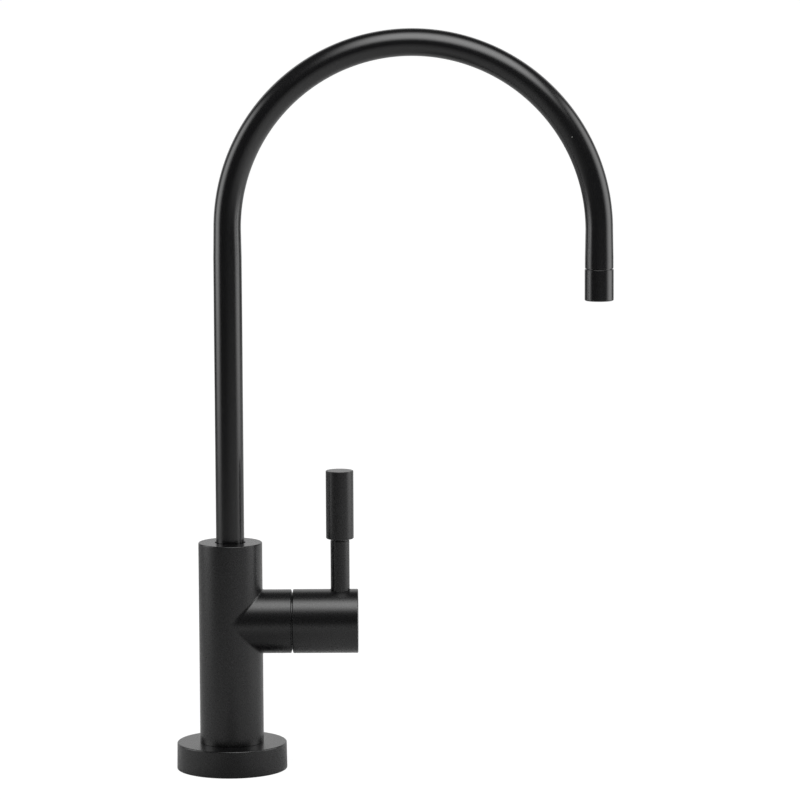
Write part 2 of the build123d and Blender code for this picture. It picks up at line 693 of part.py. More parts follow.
def make_stop_ring():
    plate = rod(STOP_RING_R, STOP_RING_X, CLIP_X)
    tab_in_r = SPINDLE_R + STOP_TAB_GAP
    tab = sector(STOP_RING_R, tab_in_r, NECK_END_X - STOP_TAB_L, STOP_RING_X, 180, STOP_TAB_DEG)
    hole = SPINDLE_SQUARE + 2 * RUN_GAP
    return on_port(plate + tab - block(hole, hole, STOP_RING_X, CLIP_X))


def make_spindle_clip():
    inner = CLIP_SHAFT_D / 2
    outer = inner + CLIP_W
    clip = ring(outer, inner, CLIP_X, CLIP_END_X)
    return on_port(clip - sector(2 * outer, 0, CLIP_X, CLIP_END_X, 0, CLIP_MOUTH_DEG))


def make_bonnet_nut():
    nut = turned([
        (0, SHELL_FLANGE_END_X),
        (CHAMBER_R - THREAD_GAP, SHELL_FLANGE_END_X),
        (CHAMBER_R - THREAD_GAP, PORT_END_X),
        (BONNET_FLANGE_R, PORT_END_X),
        (BONNET_FLANGE_R, BONNET_HEX_X),
        (0, BONNET_HEX_X),
    ])
    nut += hexagon(BONNET_HEX_AF, BONNET_HEX_X, NECK_END_X, corner_cut=False)
    return on_port(nut - rod(BONNET_BORE_R, SHELL_FLANGE_END_X, NECK_END_X))


def make_handle_bush():
    return on_port(ring(HUB_CAVITY_R, BUSH_BORE_R, HUB_CORE_X - BUSH_L, HUB_CORE_X))


def at_lever(part):
    """Stands a part that is drawn on the Z axis on the lever's axis."""
    return Pos(LEVER_X, 0, 0) * part


def at_set_screw(part):
    """Lays a part drawn along Z on the set screw's axis, pointing out below the hub."""
    return Pos(SET_SCREW_X, 0, PORT_Z) * Rot(180, 0, 0) * part


def make_handle_hub():
    hub = on_port(turned([
        (0, HUB_CORE_X),
        (HUB_CAVITY_R, HUB_CORE_X),
        (HUB_CAVITY_R, HUB_MOUTH_END_X),
        (HUB_MOUTH_R, HUB_MOUTH_END_X),
        (HUB_MOUTH_R, HUB_START_X),
        (HUB_R - HUB_LIP_DEEP, HUB_START_X),
        (HUB_R, HUB_START_X + HUB_LIP_LONG),
        (HUB_R, HUB_END_X - HUB_END_EDGE),
        (HUB_R - HUB_END_EDGE, HUB_END_X),
        (0, HUB_END_X),
    ]))
    hole = SPINDLE_SQUARE + 2 * RUN_GAP
    hub -= on_port(block(hole, hole, HUB_CORE_X, HUB_SQUARE_END_X))
    hub -= at_set_screw(rod(SET_SCREW_D / 2 + THREAD_GAP, 0, HUB_R))
    hub -= at_lever(rod(STEM_D / 2 + STEM_POCKET_GAP, STEM_SEAT_Z, HUB_TOP_Z))
    tail_low = STEM_SEAT_Z - STEM_TAIL_L - STEM_TAIL_SPACE
    hub -= at_lever(rod(STEM_THREAD_D / 2 + THREAD_GAP, tail_low, STEM_SEAT_Z))
    return hub


def make_handle_set_screw():
    tip = SPINDLE_SQUARE / 2
    screw = key_screw(SET_SCREW_D / 2, tip, HUB_R - SET_SCREW_SUNK, SET_SCREW_KEY_AF, SET_SCREW_KEY_DEEP)
    return at_set_screw(screw)


def make_lever_stem():
    stem_r = STEM_D / 2
    neck_r = stem_r - STEM_NECK_DEEP
    thread_r = STEM_THREAD_D / 2
    neck_low = GRIP_FOOT_Z - STEM_NECK_L
    return at_lever(turned([
        (0, STEM_SEAT_Z - STEM_TAIL_L),
        (thread_r, STEM_SEAT_Z - STEM_TAIL_L),
        (thread_r, STEM_SEAT_Z),
        (stem_r, STEM_SEAT_Z),
        (stem_r, neck_low - STEM_TOP_EDGE),
        (stem_r - STEM_TOP_EDGE, neck_low),
        (neck_r, neck_low),
        (neck_r, GRIP_FOOT_Z),
        (thread_r, GRIP_FOOT_Z),
        (thread_r, GRIP_FOOT_Z + STEM_SPIGOT_L),
        (0, GRIP_FOOT_Z + STEM_SPIGOT_L),
    ]))


def make_lever_grip():
    bore_r = STEM_THREAD_D / 2 + THREAD_GAP
    bore_top = GRIP_FOOT_Z + STEM_SPIGOT_L + STEM_TAIL_SPACE
    return at_lever(turned([
        (bore_r, GRIP_FOOT_Z),
        (GRIP_D / 2 - GRIP_FOOT_EDGE, GRIP_FOOT_Z),
        (GRIP_D / 2, GRIP_FOOT_Z + GRIP_FOOT_EDGE),
        (GRIP_D / 2, GRIP_TOP_Z - GRIP_TOP_EDGE),
        (GRIP_D / 2 - GRIP_TOP_EDGE, GRIP_TOP_Z),
        (0, GRIP_TOP_Z),
        (0, bore_top),
        (bore_r, bore_top),
    ]))


def make_shank():
    thread = thread_outline(
        SHANK_R, SHANK_THREAD_DEEP, SHANK_PITCH, SHANK_FOOT_Z + SHANK_LEAD_L, SHANK_SHOULDER_Z
    )
    return turned([
        (SHANK_BORE_D / 2, SHANK_TOP_Z),
        (SHANK_BORE_D / 2, SHANK_FOOT_Z),
        (SHANK_R - SHANK_THREAD_DEEP, SHANK_FOOT_Z),
        *thread,
        (SHANK_TOP_D / 2, SHANK_SHOULDER_Z),
        (SHANK_TOP_D / 2, SHANK_TOP_Z),
    ])


def make_shank_seal():
    outer = SHANK_TOP_D / 2 - LOOSE_GAP
    return ring(outer, outer - SHANK_SEAL_W, SHANK_TOP_Z, SHANK_HOLE_TOP_Z)


def make_worktop_pad():
    return ring(PAD_D / 2, SHANK_R + FREE_GAP, PLATE_TOP_Z, PAD_TOP_Z)


def make_clamp_plate():
    return ring(PLATE_D / 2, SHANK_R + FREE_GAP, SPRING_WASHER_TOP_Z, PLATE_TOP_Z)


def make_spring_washer():
    outer = SPRING_WASHER_D / 2
    low = NUT_TOP_Z
    high = SPRING_WASHER_TOP_Z
    washer = ring(outer, SHANK_R + FREE_GAP, low, high)
    return washer - block(2 * outer, SPRING_WASHER_SPLIT_W, low, high, x=outer)


def make_lock_nut():
    low = NUT_TOP_Z - NUT_H
    return hexagon(NUT_AF, low, NUT_TOP_Z) - rod(SHANK_R + THREAD_GAP, low, NUT_TOP_Z)


def make_inlet_washer():
    return ring(SHANK_R, ADAPTER_WEB_BORE_D / 2, WEB_TOP_Z, SHANK_FOOT_Z)


def make_inlet_adapter():
    hex_low = ADAPTER_TOP_Z - ADAPTER_HEX_H
    adapter = hexagon(ADAPTER_HEX_AF, hex_low, ADAPTER_TOP_Z) + rod(ADAPTER_R, ADAPTER_FOOT_Z, hex_low)
    adapter -= rod(SHANK_R + THREAD_GAP, WEB_TOP_Z, ADAPTER_TOP_Z)
    adapter -= rod(ADAPTER_WEB_BORE_D / 2, TUBE_STOP_Z, WEB_TOP_Z)
    adapter -= rod(INLET_TUBE_R, INLET_SEAL_TOP_Z, TUBE_STOP_Z)
    adapter -= rod(INLET_SEAL_R, SPACER_TOP_Z, INLET_SEAL_TOP_Z)
    adapter -= rod(CAP_R, ADAPTER_FOOT_Z, SPACER_TOP_Z)
    return adapter


def make_inlet_oring():
    return seal_ring(INLET_SEAL_R, INLET_TUBE_R, (INLET_SEAL_TOP_Z + SPACER_TOP_Z) / 2)


def make_inlet_spacer():
    return ring(CAP_R, INLET_TUBE_R + INLET_RING_GAP, GRAB_RING_TOP_Z, SPACER_TOP_Z)


def make_grab_ring():
    inner = INLET_TUBE_R + INLET_RING_GAP
    grab = ring(CAP_R, inner, CAP_TOP_Z, GRAB_RING_TOP_Z)
    slot = block(2 * GRAB_RING_SLOT_L, GRAB_RING_SLOT_W, CAP_TOP_Z, GRAB_RING_TOP_Z, x=inner)
    slots = [Rot(0, 0, 360 / GRAB_RING_TEETH * i) * slot for i in range(GRAB_RING_TEETH)]
    return grab - slots


def make_inlet_cap():
    return turned([
        (CAP_BORE_R, CAP_TOP_Z),
        (CAP_R, CAP_TOP_Z),
        (CAP_R, ADAPTER_FOOT_Z),
        (CAP_LIP_R, ADAPTER_FOOT_Z),
        (CAP_LIP_R, CAP_LIP_TOP_Z),
        (CAP_BORE_R, CAP_LIP_TOP_Z),
    ])


def make_inlet_collet():
    bead_top = CAP_LIP_TOP_Z + COLLET_BEAD_H
    flange_top = ADAPTER_FOOT_Z - COLLET_TRAVEL - COLLET_STOP_GAP
    flange_low = flange_top - COLLET_FLANGE_H
    collet = turned([
        (INLET_TUBE_R, bead_top),
        (COLLET_BEAD_R, bead_top),
        (COLLET_BEAD_R, CAP_LIP_TOP_Z),
        (COLLET_R, CAP_LIP_TOP_Z),
        (COLLET_R, flange_top),
        (COLLET_FLANGE_D / 2, flange_top),
        (COLLET_FLANGE_D / 2, flange_low),
        (INLET_TUBE_R, flange_low),
    ])
    slot = block(2 * COLLET_BEAD_R, COLLET_SLOT_W, ADAPTER_FOOT_Z, bead_top, x=COLLET_BEAD_R)
    slots = [Rot(0, 0, 360 / COLLET_SLOTS * i) * slot for i in range(COLLET_SLOTS)]
    return collet - slots


NODES = {
    "base_escutcheon": make_base_escutcheon,
    "base_gasket": make_base_gasket,
    "tee_body": make_tee_body,
    "spout_glide_ring": make_spout_glide_ring,
    "spout_retaining_screw": make_spout_retaining_screw,
    "spout_tube": make_spout_tube,
    "spout_insert": make_spout_insert,
    "spout_orings": make_spout_orings,
    "nozzle_shell": make_nozzle_shell,
    "nozzle_oring": make_nozzle_oring,
    "nozzle_screen": make_nozzle_screen,
    "flow_straightener": make_flow_straightener,
    "nozzle_retaining_ring": make_nozzle_retaining_ring,
    "cartridge_seal": make_cartridge_seal,
    "fixed_disc": make_fixed_disc,
    "moving_disc": make_moving_disc,
    "cartridge_shell": make_cartridge_shell,
    "shell_oring": make_shell_oring,
    "spindle": make_spindle,
    "spindle_orings": make_spindle_orings,
    "stop_ring": make_stop_ring,
    "spindle_clip": make_spindle_clip,
    "bonnet_nut": make_bonnet_nut,
    "handle_bush": make_handle_bush,
    "handle_hub": make_handle_hub,
    "handle_set_screw": make_handle_set_screw,
    "lever_stem": make_lever_stem,
    "lever_grip": make_lever_grip,
    "shank": make_shank,
    "shank_seal": make_shank_seal,
    "worktop_pad": make_worktop_pad,
    "clamp_plate": make_clamp_plate,
    "spring_washer": make_spring_washer,
    "lock_nut": make_lock_nut,
    "inlet_washer": make_inlet_washer,
    "inlet_adapter": make_inlet_adapter,
    "inlet_oring": make_inlet_oring,
    "inlet_spacer": make_inlet_spacer,
    "grab_ring": make_grab_ring,
    "inlet_cap": make_inlet_cap,
    "inlet_collet": make_inlet_collet,
}

os.makedirs("parts", exist_ok=True)
for name, make in NODES.items():
    export_step(make(), f"parts/{name}.step")
print(f"{len(NODES)} nodes written")
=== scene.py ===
# %% [markdown]
# # Dressing a black drinking-water faucet
#
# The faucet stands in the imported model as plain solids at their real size. This file gives it
# the look of the real one, cell by cell: first the camera and the studio, then each finish,
# then the pieces that are worth modelling anew. Blender works in metres. Sizes of the pieces are
# written in millimetres and multiplied by MM where they reach Blender. The origin is the centre
# of the base's underside, +Z is up, +X runs along the side port to the handle and -Y faces the
# user.

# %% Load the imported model
import json
from math import atan2, cos, pi, radians, tan

import bmesh
import bpy
from mathutils import Matrix, Vector

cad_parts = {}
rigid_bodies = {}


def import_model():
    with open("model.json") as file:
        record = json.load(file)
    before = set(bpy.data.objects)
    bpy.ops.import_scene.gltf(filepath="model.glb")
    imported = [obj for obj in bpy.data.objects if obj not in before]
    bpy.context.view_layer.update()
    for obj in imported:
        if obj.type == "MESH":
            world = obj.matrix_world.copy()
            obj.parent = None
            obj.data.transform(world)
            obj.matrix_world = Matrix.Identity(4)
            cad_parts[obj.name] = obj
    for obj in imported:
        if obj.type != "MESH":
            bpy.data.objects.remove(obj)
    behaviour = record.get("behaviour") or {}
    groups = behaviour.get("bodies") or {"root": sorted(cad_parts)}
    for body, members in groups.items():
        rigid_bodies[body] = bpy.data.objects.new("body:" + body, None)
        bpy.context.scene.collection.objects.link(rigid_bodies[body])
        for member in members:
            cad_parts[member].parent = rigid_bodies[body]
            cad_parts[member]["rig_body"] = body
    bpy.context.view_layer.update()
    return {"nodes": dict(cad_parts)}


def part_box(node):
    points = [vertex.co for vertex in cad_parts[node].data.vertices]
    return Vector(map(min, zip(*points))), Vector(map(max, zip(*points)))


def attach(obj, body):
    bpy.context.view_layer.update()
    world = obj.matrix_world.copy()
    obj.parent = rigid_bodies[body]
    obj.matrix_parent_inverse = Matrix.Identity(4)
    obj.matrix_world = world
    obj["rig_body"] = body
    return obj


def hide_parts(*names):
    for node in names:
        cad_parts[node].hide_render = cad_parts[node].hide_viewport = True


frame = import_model()
nodes = frame["nodes"]
MM = 0.001
slot_of = {name: node.data.materials[0].name for name, node in nodes.items()}
body_of = {name: node["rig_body"] for name, node in nodes.items()}

# %% [markdown]
# ## The camera
#
# The faucet was photographed from the user's side with a long lens, a little above the handle.
# A camera can be placed by eye, or its angle, distance and lens can be worked out from the
# outlines in the photograph. These values were worked out, so the picture can be compared with
# the photograph edge by edge.

# %% Place the camera
PICTURE_PX = 800
FOCAL_PX = 4325.6
SENSOR_MM = 36.0
LOOK_AT = Vector((72.545, 0.0, 158.239)) * MM
CAMERA_AWAY = 1833.39 * MM
CAMERA_DOWN_DEG = 7.218
CAMERA_ROLL_DEG = -0.27

camera = bpy.data.objects.new("camera", bpy.data.cameras.new("camera"))
bpy.context.scene.collection.objects.link(camera)
camera.data.sensor_width = SENSOR_MM
camera.data.lens = FOCAL_PX * SENSOR_MM / PICTURE_PX
tilt = Matrix.Rotation(radians(90 - CAMERA_DOWN_DEG), 4, "X")
roll = Matrix.Rotation(radians(CAMERA_ROLL_DEG), 4, "Z")
camera.matrix_world = Matrix.Translation(LOOK_AT) @ tilt @ Matrix.Translation((0, 0, CAMERA_AWAY)) @ roll
bpy.context.scene.camera = camera
camera_at = [round(value, 3) for value in camera.matrix_world.translation]
print("lens", round(camera.data.lens, 2), "mm, camera at", camera_at)

# %% [markdown]
# ## Colours and nodes
#
# A paint maker gives a colour as it looks on a screen, so every colour here is an sRGB hex
# value, and one function turns it to the linear numbers that a shader works with. Materials are
# small trees of nodes. One helper sets a node's sockets and joins it to others, and another adds
# a new node with its sockets. Where a whole node is given to a socket, its first output is meant.

# %% Helpers for materials
def linear(hex_colour):
    """The linear RGBA of a colour written as on a screen, such as "1b1c1e"."""
    channels = [int(hex_colour[i:i + 2], 16) / 255 for i in (0, 2, 4)]
    return [c / 12.92 if c <= 0.04045 else ((c + 0.055) / 1.055) ** 2.4 for c in channels] + [1.0]


def set_sockets(node, sockets):
    """Sets sockets to numbers or colours, or links them to an output or a node's first output."""
    for name, value in sockets.items():
        if isinstance(value, bpy.types.Node):
            value = value.outputs[0]
        if isinstance(value, bpy.types.NodeSocket):
            node.id_data.links.new(value, node.inputs[name])
        else:
            node.inputs[name].default_value = value


def add_node(tree, kind, sockets=None, **settings):
    """Adds a node with its options and its sockets."""
    node = tree.nodes.new(kind)
    for name, value in settings.items():
        setattr(node, name, value)
    set_sockets(node, sockets or {})
    return node


print("mid grey 808080 is", round(linear("808080")[0], 3), "in linear light")

# %% [markdown]
# ## The studio
#
# The photograph is a studio shot: a tall soft light on each side, one overhead, a white surface,
# and nothing bright behind the camera, so the coat stays black in the middle of every tube and
# shows two soft bands near its edges. Area lights make soft boxes. They light the faucet and
# show in its gloss, but the camera doesn't see them. A real soft box fades towards its edges,
# and the light's own nodes do the same, so the bands on the tubes have soft edges too.

# %% Soft boxes
def soft_box(name, at, target, width, height, radiance, soft_wide, soft_high):
    """A rectangular light. The outer share soft_wide or soft_high of each half side fades to nothing."""
    light = bpy.data.lights.new(name, "AREA")
    light.shape = "RECTANGLE"
    light.size = width
    light.size_y = height
    light.energy = radiance * pi * width * height
    light.use_nodes = True
    tree = light.node_tree
    place = add_node(tree, "ShaderNodeNewGeometry")
    split = add_node(tree, "ShaderNodeSeparateXYZ", {0: place.outputs["Parametric"]})
    fades = []
    for axis, soft in (("X", soft_wide), ("Y", soft_high)):
        centred = add_node(tree, "ShaderNodeMath", {0: split.outputs[axis], 1: 0.5}, operation="SUBTRACT")
        off = add_node(tree, "ShaderNodeMath", {0: centred}, operation="ABSOLUTE")
        fades.append(add_node(tree, "ShaderNodeMapRange", {
            "Value": off,
            "From Min": 0.5 - 0.5 * soft,
            "From Max": 0.5,
            "To Min": 1.0,
            "To Max": 0.0,
        }, interpolation_type="SMOOTHSTEP"))
    both = add_node(tree, "ShaderNodeMath", {0: fades[0], 1: fades[1]}, operation="MULTIPLY")
    set_sockets(tree.nodes["Emission"], {"Strength": both})
    box = bpy.data.objects.new(name, light)
    bpy.context.scene.collection.objects.link(box)
    box.location = at
    box.rotation_euler = (Vector(target) - Vector(at)).to_track_quat("-Z", "Y").to_euler()
    box.visible_camera = False
    print(name, "of", width, "by", round(height, 3), "m at", [round(value, 3) for value in at])


# %% Lights above the worktop
SIDE_AWAY = 0.8
SIDE_LOW = -0.07
SIDE_HIGH = 0.9
SIDE_WIDE = 0.98
SIDE_SOFT_WIDE = 0.9
SIDE_SOFT_HIGH = 0.45

side_middle = (SIDE_LOW + SIDE_HIGH) / 2
for name, side, radiance in (("left_light", -1, 3.7), ("right_light", 1, 3.4)):
    at = (side * SIDE_AWAY, 0, side_middle)
    target = (0, 0, side_middle)
    soft_box(name, at, target, SIDE_WIDE, SIDE_HIGH - SIDE_LOW, radiance, SIDE_SOFT_WIDE, SIDE_SOFT_HIGH)
soft_box(
    "top_light", at=(0.15, -0.2, 0.6), target=(0.15, 0.02, 0.15),
    width=0.7, height=0.62, radiance=5.8, soft_wide=0.6, soft_high=0.9,
)
soft_box(
    "back_panel", at=(0.0, 1.5, 0.75), target=(0.0, 0.0, 0.75),
    width=3.4, height=1.5, radiance=0.75, soft_wide=0.3, soft_high=0.1,
)

# %% [markdown]
# The part of the faucet that hangs below the worktop is out of reach of these lights. Two more
# boxes light it from below, for a look from underneath. The table keeps them off the rest.

# %% Lights below the worktop
for name, side in (("left_low_light", -1), ("right_low_light", 1)):
    soft_box(
        name, at=(side * 0.5, -0.5, -0.3), target=(0, 0, -0.05),
        width=0.8, height=0.55, radiance=4.0, soft_wide=0.5, soft_high=0.5,
    )

# %% [markdown]
# The room behind the camera is dark to the gloss, while the backdrop that the camera sees is
# pure white, so the world shows white to the camera's own rays and a dim grey to all others.

# %% World
WORLD_DIM = 0.08
scene = bpy.context.scene
scene.view_settings.view_transform = "Standard"
scene.world = bpy.data.worlds.new("studio")
scene.world.use_nodes = True
tree = scene.world.node_tree
tree.nodes.clear()
ray = add_node(tree, "ShaderNodeLightPath")
dim = add_node(tree, "ShaderNodeBackground", {"Color": linear("ffffff"), "Strength": WORLD_DIM})
white = add_node(tree, "ShaderNodeBackground", {"Color": linear("ffffff"), "Strength": 1.0})
mixed = add_node(tree, "ShaderNodeMixShader", {0: ray.outputs["Is Camera Ray"], 1: dim, 2: white})
add_node(tree, "ShaderNodeOutputWorld", {"Surface": mixed})
print("world is white to the camera and", WORLD_DIM, "to all else")

# %% [markdown]
# ## The floor
#
# On a product photograph the ground is as white as the backdrop, and still the black coat
# mirrors a ground that is only light grey. One plane can't be both, so there are two: a white
# sheet that only the camera sees, which keeps a faint shadow round the base, and just below it
# a grey table that only reflections and shadows see. The table carries a painted shadow, a
# little darker just in front of the base, where the faucet throws a soft shadow, and painted
# light, a glow that rises far out and to the right, where the room's own light reaches it.

# %% A flat disc
DISC_SIDES = 96


def disc(name, radius, z, surface):
    """A flat round stage piece whose material is made by the function surface."""
    bpy.ops.object.select_all(action="DESELECT")
    bpy.ops.mesh.primitive_circle_add(
        vertices=DISC_SIDES, radius=radius, fill_type="NGON", location=(0, 0, z)
    )
    piece = bpy.context.object
    piece.name = name
    material = bpy.data.materials.new(name)
    material.use_nodes = True
    material.node_tree.nodes.clear()
    out = surface(material.node_tree)
    add_node(material.node_tree, "ShaderNodeOutputMaterial", {"Surface": out})
    piece.data.materials.append(material)
    print(name, radius, "m in radius,", round(-z / MM, 2), "mm below the worktop")
    return piece


# %% White sheet
FLOOR_R = 12.0
FLOOR_BELOW = 0.05 * MM


def white_sheet(tree):
    """Glows almost white by itself, so that only the deepest shadow shows on its paint."""
    paint = add_node(tree, "ShaderNodeBsdfDiffuse", {"Color": linear("606060")})
    place = add_node(tree, "ShaderNodeTexCoord")
    far = add_node(tree, "ShaderNodeVectorMath", {0: place.outputs["Object"]}, operation="LENGTH")
    fade = add_node(tree, "ShaderNodeMapRange", {
        "Value": far.outputs["Value"],
        "From Min": 0.1,
        "From Max": 0.5,
        "To Min": 0.94,
    })
    glow = add_node(tree, "ShaderNodeEmission", {"Color": linear("ffffff"), "Strength": fade})
    return add_node(tree, "ShaderNodeAddShader", {0: paint, 1: glow})


sheet = disc("floor", FLOOR_R, -FLOOR_BELOW, white_sheet)
sheet.visible_glossy = sheet.visible_diffuse = sheet.visible_shadow = False

# %% Grey table
TABLE_R = 1.6
TABLE_BELOW = 0.3 * MM
TABLE_GREY = "cccccc"
# Place and size of the painted shadow on the table, in metres: how far in front of the base, how wide and
# how long.
PAINTED_SHADOW_FRONT = 0.08
PAINTED_SHADOW_WIDE = 0.03
PAINTED_SHADOW_LONG = 0.08


def grey_table(tree):
    """Matt grey with a painted shadow in front of the base and painted light rising outwards and to the
    right.
    """
    place = add_node(tree, "ShaderNodeTexCoord")
    squeezed = add_node(tree, "ShaderNodeMapping", {
        "Vector": place.outputs["Object"],
        "Location": (0, PAINTED_SHADOW_FRONT / PAINTED_SHADOW_LONG, 0),
        "Scale": (1 / PAINTED_SHADOW_WIDE, 1 / PAINTED_SHADOW_LONG, 1),
    })
    from_painted_shadow = add_node(tree, "ShaderNodeVectorMath", {0: squeezed}, operation="LENGTH")
    # Painted shadow: the table's grey is darkened to half in a soft spot just in front of the base.
    shade = add_node(tree, "ShaderNodeMapRange", {
        "Value": from_painted_shadow.outputs["Value"],
        "From Min": 0.4,
        "From Max": 1.4,
        "To Min": 0.5,
    }, interpolation_type="SMOOTHSTEP")
    colour = linear(TABLE_GREY)[:3]
    grey = add_node(tree, "ShaderNodeVectorMath", {0: colour, "Scale": shade}, operation="SCALE")
    paint = add_node(tree, "ShaderNodeBsdfDiffuse", {"Color": grey})
    # Painted light: the table glows more the farther out it lies and the further it lies towards +X.
    far = add_node(tree, "ShaderNodeVectorMath", {0: place.outputs["Object"]}, operation="LENGTH")
    rise = add_node(tree, "ShaderNodeMapRange", {
        "Value": far.outputs["Value"],
        "From Min": 0.04,
        "From Max": 0.45,
    })
    split = add_node(tree, "ShaderNodeSeparateXYZ", {0: place.outputs["Object"]})
    lean = add_node(tree, "ShaderNodeMapRange", {
        "Value": split.outputs["X"],
        "From Min": -0.4,
        "From Max": 0.4,
        "To Max": 0.4,
    })
    both = add_node(tree, "ShaderNodeMath", {0: rise, 1: lean}, operation="MULTIPLY")
    glow = add_node(tree, "ShaderNodeEmission", {"Color": linear("ffffff"), "Strength": both})
    return add_node(tree, "ShaderNodeAddShader", {0: paint, 1: glow})


table = disc("table", TABLE_R, -TABLE_BELOW, grey_table)
table.visible_camera = False

# %% [markdown]
# ## The finishes
#
# Each finish starts from what the real surface is and how it was made. All patterns are read
# from Object coordinates, which are metres in the faucet's own frame, so a pattern's scale is
# one over its real size. A noise pattern of scale 1 has about one bump in each metre, and most
# of its values lie between NOISE_LOW and NOISE_HIGH, which a Map Range node stretches to the
# range that is wanted. Such a node goes from 0 to 1 on both sides unless its sockets say more.

# %% A blank material
NOISE_LOW = 0.25
NOISE_HIGH = 0.75


def blank(name):
    """A new material with its tree, its main shader and the Object coordinates."""
    material = bpy.data.materials.new(name)
    material.use_nodes = True
    tree = material.node_tree
    place = add_node(tree, "ShaderNodeTexCoord").outputs["Object"]
    print("material", name)
    return material, tree, tree.nodes["Principled BSDF"], place


# %% [markdown]
# Rubber, acetal and alumina drift in soft clouds between two colours and two roughnesses, each
# at its own scale, and the first two have a relief as well. One helper makes them all. A Mix
# node has its sockets for numbers first, so its colour sockets are reached by number.

# %% A clouded material
MIX_A = 6
MIX_B = 7
MIX_COLOUR = 2


def clouded(name, cloud_mm, detail, colours, roughnesses, ior, relief=None):
    """A rubber, plastic or ceramic in clouds. relief is its grain's width, detail and height."""
    material, tree, shader, place = blank(name)
    noise = add_node(tree, "ShaderNodeTexNoise", {
        "Vector": place,
        "Scale": 1 / (cloud_mm * MM),
        "Detail": detail,
    })
    cloud = add_node(tree, "ShaderNodeMapRange", {
        "Value": noise,
        "From Min": NOISE_LOW,
        "From Max": NOISE_HIGH,
    })
    colour = add_node(tree, "ShaderNodeMix", {
        "Factor": cloud,
        MIX_A: linear(colours[0]),
        MIX_B: linear(colours[1]),
    }, data_type="RGBA").outputs[MIX_COLOUR]
    rough = add_node(tree, "ShaderNodeMapRange", {
        "Value": cloud,
        "To Min": roughnesses[0],
        "To Max": roughnesses[1],
    })
    set_sockets(shader, {"IOR": ior, "Base Color": colour, "Roughness": rough})
    if relief:
        grain_mm, grain_detail, high_mm = relief
        grain = add_node(tree, "ShaderNodeTexNoise", {
            "Vector": place,
            "Scale": 1 / (grain_mm * MM),
            "Detail": grain_detail,
        })
        bump = add_node(tree, "ShaderNodeBump", {"Height": grain, "Distance": high_mm * MM})
        set_sockets(shader, {"Normal": bump})
    return material


# %% [markdown]
# ### Satin black powder coat
#
# Everything that shows above the worktop is brass under a baked polyester powder coat. The eye
# reads it as black with a soft even sheen: almost no colour of its own, a clear skin that
# mirrors the lights a little blurred, a faint orange peel where the powder ran together, and a
# fine grain. It could be a plain black shader, but then a curved piece looks like moulded
# plastic, so the peel and the grain bend the reflection and vary the roughness slightly. Real
# grain is about 0.1 mm wide, too fine to show here, so it is drawn 0.55 mm wide. A few specks
# of dust, as in the photograph, lie on the coat. The drawn tube and its nozzle are smoother
# than the cast body, so their coat is glossier and has less relief.

# %% Powder coat
COAT_BLACK = "0a0a0b"
COAT_IOR = 1.5
COAT_UNEVEN = 0.05
PEEL_MM = 2.2
PEEL_HIGH_MM = 0.003
GRAIN_MM = 0.55
GRAIN_HIGH_MM = 0.0011
DUST_CELL_MM = 9.0
DUST_SHARE = 0.35
DUST_R_MM = 0.28
DUST_GREY = "6a6a68"


def powder_coat(name, roughness, relief):
    """Black coat of that roughness. relief is the share of the peel's and the grain's full height."""
    material, tree, shader, place = blank(name)
    grain = add_node(tree, "ShaderNodeTexNoise", {
        "Vector": place,
        "Scale": 1 / (GRAIN_MM * MM),
        "Detail": 2.0,
    })
    peel = add_node(tree, "ShaderNodeTexNoise", {
        "Vector": place,
        "Scale": 1 / (PEEL_MM * MM),
        "Detail": 1.0,
    })
    rough = add_node(tree, "ShaderNodeMapRange", {
        "Value": grain,
        "From Min": NOISE_LOW,
        "From Max": NOISE_HIGH,
        "To Min": roughness - COAT_UNEVEN,
        "To Max": roughness + COAT_UNEVEN,
    })
    cells = add_node(tree, "ShaderNodeTexVoronoi", {"Vector": place, "Scale": 1 / (DUST_CELL_MM * MM)})
    near = add_node(tree, "ShaderNodeMath", {
        0: cells.outputs["Distance"],
        1: DUST_R_MM / DUST_CELL_MM,
    }, operation="LESS_THAN")
    chosen = add_node(tree, "ShaderNodeMath", {
        0: cells.outputs["Color"],
        1: DUST_SHARE,
    }, operation="LESS_THAN")
    speck = add_node(tree, "ShaderNodeMath", {0: near, 1: chosen}, operation="MULTIPLY")
    colour = add_node(tree, "ShaderNodeMix", {
        "Factor": speck,
        MIX_A: linear(COAT_BLACK),
        MIX_B: linear(DUST_GREY),
    }, data_type="RGBA").outputs[MIX_COLOUR]
    low = add_node(tree, "ShaderNodeBump", {"Height": peel, "Distance": PEEL_HIGH_MM * relief * MM})
    high = add_node(tree, "ShaderNodeBump", {
        "Height": grain,
        "Distance": GRAIN_HIGH_MM * relief * MM,
        "Normal": low,
    })
    set_sockets(shader, {"IOR": COAT_IOR, "Base Color": colour, "Roughness": rough, "Normal": high})
    return material


coat = powder_coat("satin_black_powder_coat", roughness=0.29, relief=1.0)
tube_coat = powder_coat("satin_black_powder_coat_on_drawn_tube", roughness=0.22, relief=0.6)

# %% [markdown]
# ### Turned brass
#
# The shank, the lock nut, the swivel insert and the cartridge's shell and spindle are free
# cutting brass, turned and left bare. Brass is a metal: it has no colour under its mirror, and
# the mirror itself is yellow. The tool leaves fine rings round the axis, which spread the
# highlights along it. The feed is about 0.1 mm a turn. The rings are drawn 0.35 mm apart, so
# that they show. Handling leaves slow cloudy stains, which vary the roughness.

# %% Turned metal
RING_MM = 0.35
RING_HIGH_MM = 0.0016
STAIN_MM = 6.0
STAIN_SMOOTHER = 0.05
STAIN_DULLER = 0.1


